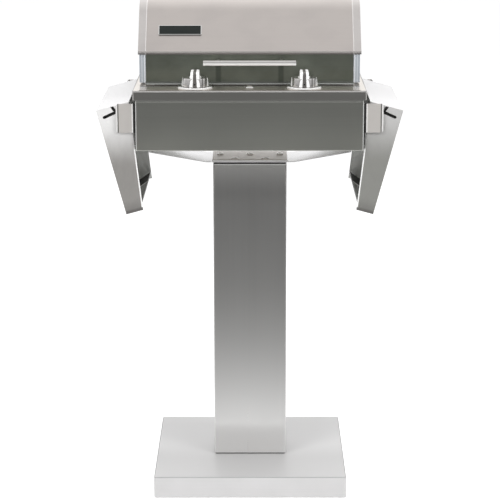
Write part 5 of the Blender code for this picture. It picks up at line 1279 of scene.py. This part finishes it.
def makeKnob(word, settings):
    nodeEnd = word.lower()
    low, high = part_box("knob_" + nodeEnd)
    x, y, sides = (low.x + high.x) / 2, (low.y + high.y) / 2, settings["sides"]
    stand = standAt(x, y)

    # a flat ring round the knob, with an eased outer edge and a small step down inside
    bezelLow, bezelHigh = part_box("knob_bezel_" + nodeEnd)
    radius, foot, top = settings["bezelRadius"], bezelLow.z, bezelHigh.z
    hole, inner, stepTop = settings["bezelHole"], settings["bezelInner"], bezelHigh.z - 0.0005
    profile = [(hole, foot), (radius, foot), (radius, foot + 0.0008), (radius - 0.0007, top - 0.0004),
               (radius - 0.0022, top), (inner, top), (inner - 0.0008, stepTop), (inner - 0.0018, stepTop),
               (hole, stepTop)]
    shells = [turnedShell(profile, sides, stand, loop=True)]
    makePiece("bezel" + word, shells, "bezelMetal", "stand", ("knob_bezel_" + nodeEnd,))

    # the skirt's radius falls from base to rim as the height share ** wallCurve; its top is dished
    base, rim, crest = settings["skirtRadius"], settings["rimRadius"], settings["skirtTop"]
    hole, wallFoot, dish = settings["skirtHole"], low.z + settings["wallFoot"], crest - settings["dish"]
    share = np.linspace(0, 1, settings["wallSteps"])
    wallRadius = base + (rim - base) * share ** settings["wallCurve"]
    wall = np.stack([wallRadius, wallFoot + (crest - 0.0012 - wallFoot) * share], axis=1)
    below = [(hole, low.z + 0.0002), (base - 0.0012, low.z), (base - 0.0002, low.z + 0.0006),
             (base, low.z + 0.0014)]
    above = [(rim - 0.0004, crest - 0.0004), (rim - 0.0012, crest), (rim - 0.0022, crest - 0.0002),
             (rim - 0.0040, crest - 0.0012), (rim - 0.0080, dish + 0.0003), (rim - 0.0130, dish),
             (hole, dish)]
    skirt = turnedShell(np.concatenate([below, wall, above]), sides, stand, loop=True)

    # the grip stands on the bezel, runs past the skirt front and back, and narrows to a soft crown
    foot, top = low.z + settings["gripFoot"], settings["gripTop"]
    atFoot, atCrown = np.array(settings["gripBase"]), np.array(settings["gripCrown"])
    bow = [settings[k] for k in ("gripCorner", "gripFullness", "gripSteps")]
    rings = []
    for rise, draw in zip(settings["climb"], settings["drawIn"]):
        width, length, nose = atFoot + (atCrown - atFoot) * rise - 2 * draw
        rings.append(ring(boatOutline(width, nose, length, *bow), foot + (top - foot) * rise))
    shells, body, sharp = [skirt, gridShell(stand(np.stack(rings)))], "knob_" + nodeEnd, settings["sharp"]
    makePiece("knob" + word, shells, "knobMetal", body, ("knob_" + nodeEnd,), sharp)

    # the mark is a small dark insert low on the grip's front end
    mark, markHeight, sink = settings["markRadius"], settings["markHeight"], settings["markSink"]
    share = (markHeight - foot) / (top - foot)
    frontY = y - (atFoot[1] + (atCrown[1] - atFoot[1]) * share) / 2
    dot = [(poleRadius, -sink), (mark, -sink), (mark, 0.0), (mark * 0.8, 0.0003), (poleRadius, 0.0004)]

    def face(points):
        return np.stack([x + points[..., 0], frontY - points[..., 2], markHeight + points[..., 1]], axis=-1)

    makePiece("knobMark" + word, [turnedShell(dot, settings["markSides"], face)], "blackMark", body)


makeKnob("Left", knobSettings)
makeKnob("Right", knobSettings)

lampSettings = {
    "hole": 0.0070,
    "holeTop": 0.0074,
    "ringSides": 56,
    "lensRadius": 0.0064,
    "lensFoot": 0.0003,
    "lensSides": 40,
    "domeRise": 0.0022,
    "domeSteps": 8,
}


def makePilotLamp(settings):
    # a low domed lens, a quarter of an ellipse turned round, in a turned ring
    low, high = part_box("lamp_bezel")
    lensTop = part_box("pilot_lamp")[1].z
    stand = standAt(0.0, (low.y + high.y) / 2)
    outer, hole, foot, top = (high.x - low.x) / 2, settings["hole"], low.z, high.z
    profile = [(hole, foot), (outer, foot), (outer, foot + 0.0006), (outer - 0.0010, top - 0.0006),
               (outer - 0.0022, top - 0.0001), (outer - 0.0030, top), (settings["holeTop"], top - 0.0003),
               (hole, top - 0.0008)]
    shells = [turnedShell(profile, settings["ringSides"], stand, loop=True)]
    makePiece("lampRing", shells, "chrome", "stand", ("lamp_bezel",))
    radius, domeRise, lensFoot = settings["lensRadius"], settings["domeRise"], foot + settings["lensFoot"]
    swing = np.linspace(0, math.pi / 2, settings["domeSteps"])
    dome = np.stack([radius * np.cos(swing), lensTop - domeRise + domeRise * np.sin(swing)], axis=1)
    dome[-1, 0] = poleRadius
    profile = np.concatenate([[(poleRadius, lensFoot), (radius, lensFoot)], dome])
    shells = [turnedShell(profile, settings["lensSides"], stand)]
    makePiece("lampLens", shells, "lens", "stand", ())


makePilotLamp(lampSettings)
print("stage: knobs, bezels and lamp")


def boxOutlines(name, corner, tightest, steps, tightFrom=math.inf):
    # gives a function for the rounded outline of a node's box, drawn in by a distance, at a height; the
    # corner tightens as it is drawn in, and is at its tightest from tightFrom on
    low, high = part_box(name)
    width, depth, y = high.x - low.x, high.y - low.y, (low.y + high.y) / 2

    def outline(inset, z):
        radius = max(corner - inset, tightest) if inset < tightFrom else tightest
        return ring(roundedOutline(width - 2 * inset, depth - 2 * inset, radius, steps), z, (0.0, y))

    return low, high, outline


columnSettings = {
    "corner": 0.0042,
    "innerCorner": 0.0022,
    "cornerSteps": 8,
    "wall": 0.002,
    "ease": 0.0003,
    "easeHeight": 0.0006,
    "rows": 9,
}


def makeColumn(settings):
    # the outer and the inner outline of a folded tube, carried up and joined at both ends
    corners = [settings[k] for k in ("corner", "innerCorner", "cornerSteps")]
    low, high, outline = boxOutlines("column_tube", *corners)
    wall, ease, easeHeight = (settings[k] for k in ("wall", "ease", "easeHeight"))
    heights = np.linspace(low.z + easeHeight, high.z - easeHeight, settings["rows"])
    outer = [outline(ease, low.z)] + [outline(0, z) for z in heights] + [outline(ease, high.z)]
    inner = [outline(wall, high.z)] + [outline(wall, z) for z in heights[::-1]] + [outline(wall, low.z)]
    shells = [gridShell(np.stack(outer + inner), loop=True)]
    makePiece("columnTube", shells, "columnSteel", "stand", ("column_tube",))


makeColumn(columnSettings)

baseSettings = {
    "corner": 0.0045,
    "innerCorner": 0.0006,
    "cornerSteps": 6,
    "tightFrom": 0.003,
    "bend": 0.0028,
    "bendSteps": 7,
    "wall": 0.002,
    "lip": 0.020,
    "topSteps": (0.012, 0.06, 0.12, 0.18, 0.21),
}


def makeBase(settings):
    # a tray upside down: lip, side, bend and top outside, and the same again inside
    corners = [settings[k] for k in ("corner", "innerCorner", "cornerSteps", "tightFrom")]
    low, high, outline = boxOutlines("base_shell", *corners)
    bend, wall, lip, middle = settings["bend"], settings["wall"], settings["lip"], settings["topSteps"][-1]
    swing = np.linspace(0, math.pi / 2, settings["bendSteps"])
    topBend = [outline(bend - bend * math.cos(t), high.z - bend + bend * math.sin(t)) for t in swing]
    footBend = [outline(bend - bend * math.sin(t), low.z + bend - bend * math.cos(t)) for t in swing]
    plain = [outline(inset, high.z) for inset in settings["topSteps"]]
    ceiling, floorTop, ease = high.z - wall, low.z + wall, wall + 0.001
    inside = [outline(middle, ceiling), outline(ease, ceiling), outline(wall, ceiling - 0.001),
              outline(wall, floorTop + 0.001), outline(ease, floorTop), outline(lip, floorTop)]
    rings = inside + [outline(lip, low.z)] + footBend + topBend + plain
    shells = [gridShell(np.stack(rings))]
    makePiece("baseShell", shells, "baseSteel", "stand", ("base_shell",))


makeBase(baseSettings)

capSettings = {
    "corner": 0.003,
    "innerCorner": 0.002,
    "cornerSteps": 6,
    "cradleSheet": 0.002,
    "gap": 0.0003,
    "thickness": 0.0025,
    "screwPlaces": [(-0.069, 0.016), (0.0, 0.016), (0.069, 0.016), (-0.0345, -0.040), (0.0345, -0.040)],
    "screwHead": [(poleRadius, 0.0001), (0.0080, 0.0001), (0.0080, 0.0009), (0.0074, 0.0024),
                  (0.0058, 0.0033), (0.0040, 0.0035), (0.0036, 0.0034), (0.0033, 0.0030),
                  (0.0030, 0.0016), (poleRadius, 0.0014)],
    "screwSides": 28,
    "screwSink": 0.0003,
    "sharp": 34.0,
}


def makeCapPlate(settings):
    # a thin plate with eased edges and five pan screws with a drilled recess
    corners = [settings[k] for k in ("corner", "innerCorner", "cornerSteps")]
    outline = boxOutlines("column_cap_plate", *corners)[2]
    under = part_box("cradle")[0].z + settings["cradleSheet"] + settings["gap"]
    top = under + settings["thickness"]
    steps = [(0.0004, under), (0, under + 0.0004), (0, top - 0.0006), (0.0002, top - 0.0002), (0.0007, top),
             (0.02, top)]
    shells = [gridShell(np.stack([outline(*step) for step in steps]))]
    for x, y in settings["screwPlaces"]:
        stand = standAt(x, y, top - settings["screwSink"])
        shells.append(turnedShell(settings["screwHead"], settings["screwSides"], stand))
    standsFor, sharp = ("column_cap_plate",), settings["sharp"]
    makePiece("capPlate", shells, "capSteel", "stand", standsFor, sharp)


makeCapPlate(capSettings)
print("stage: pedestal")
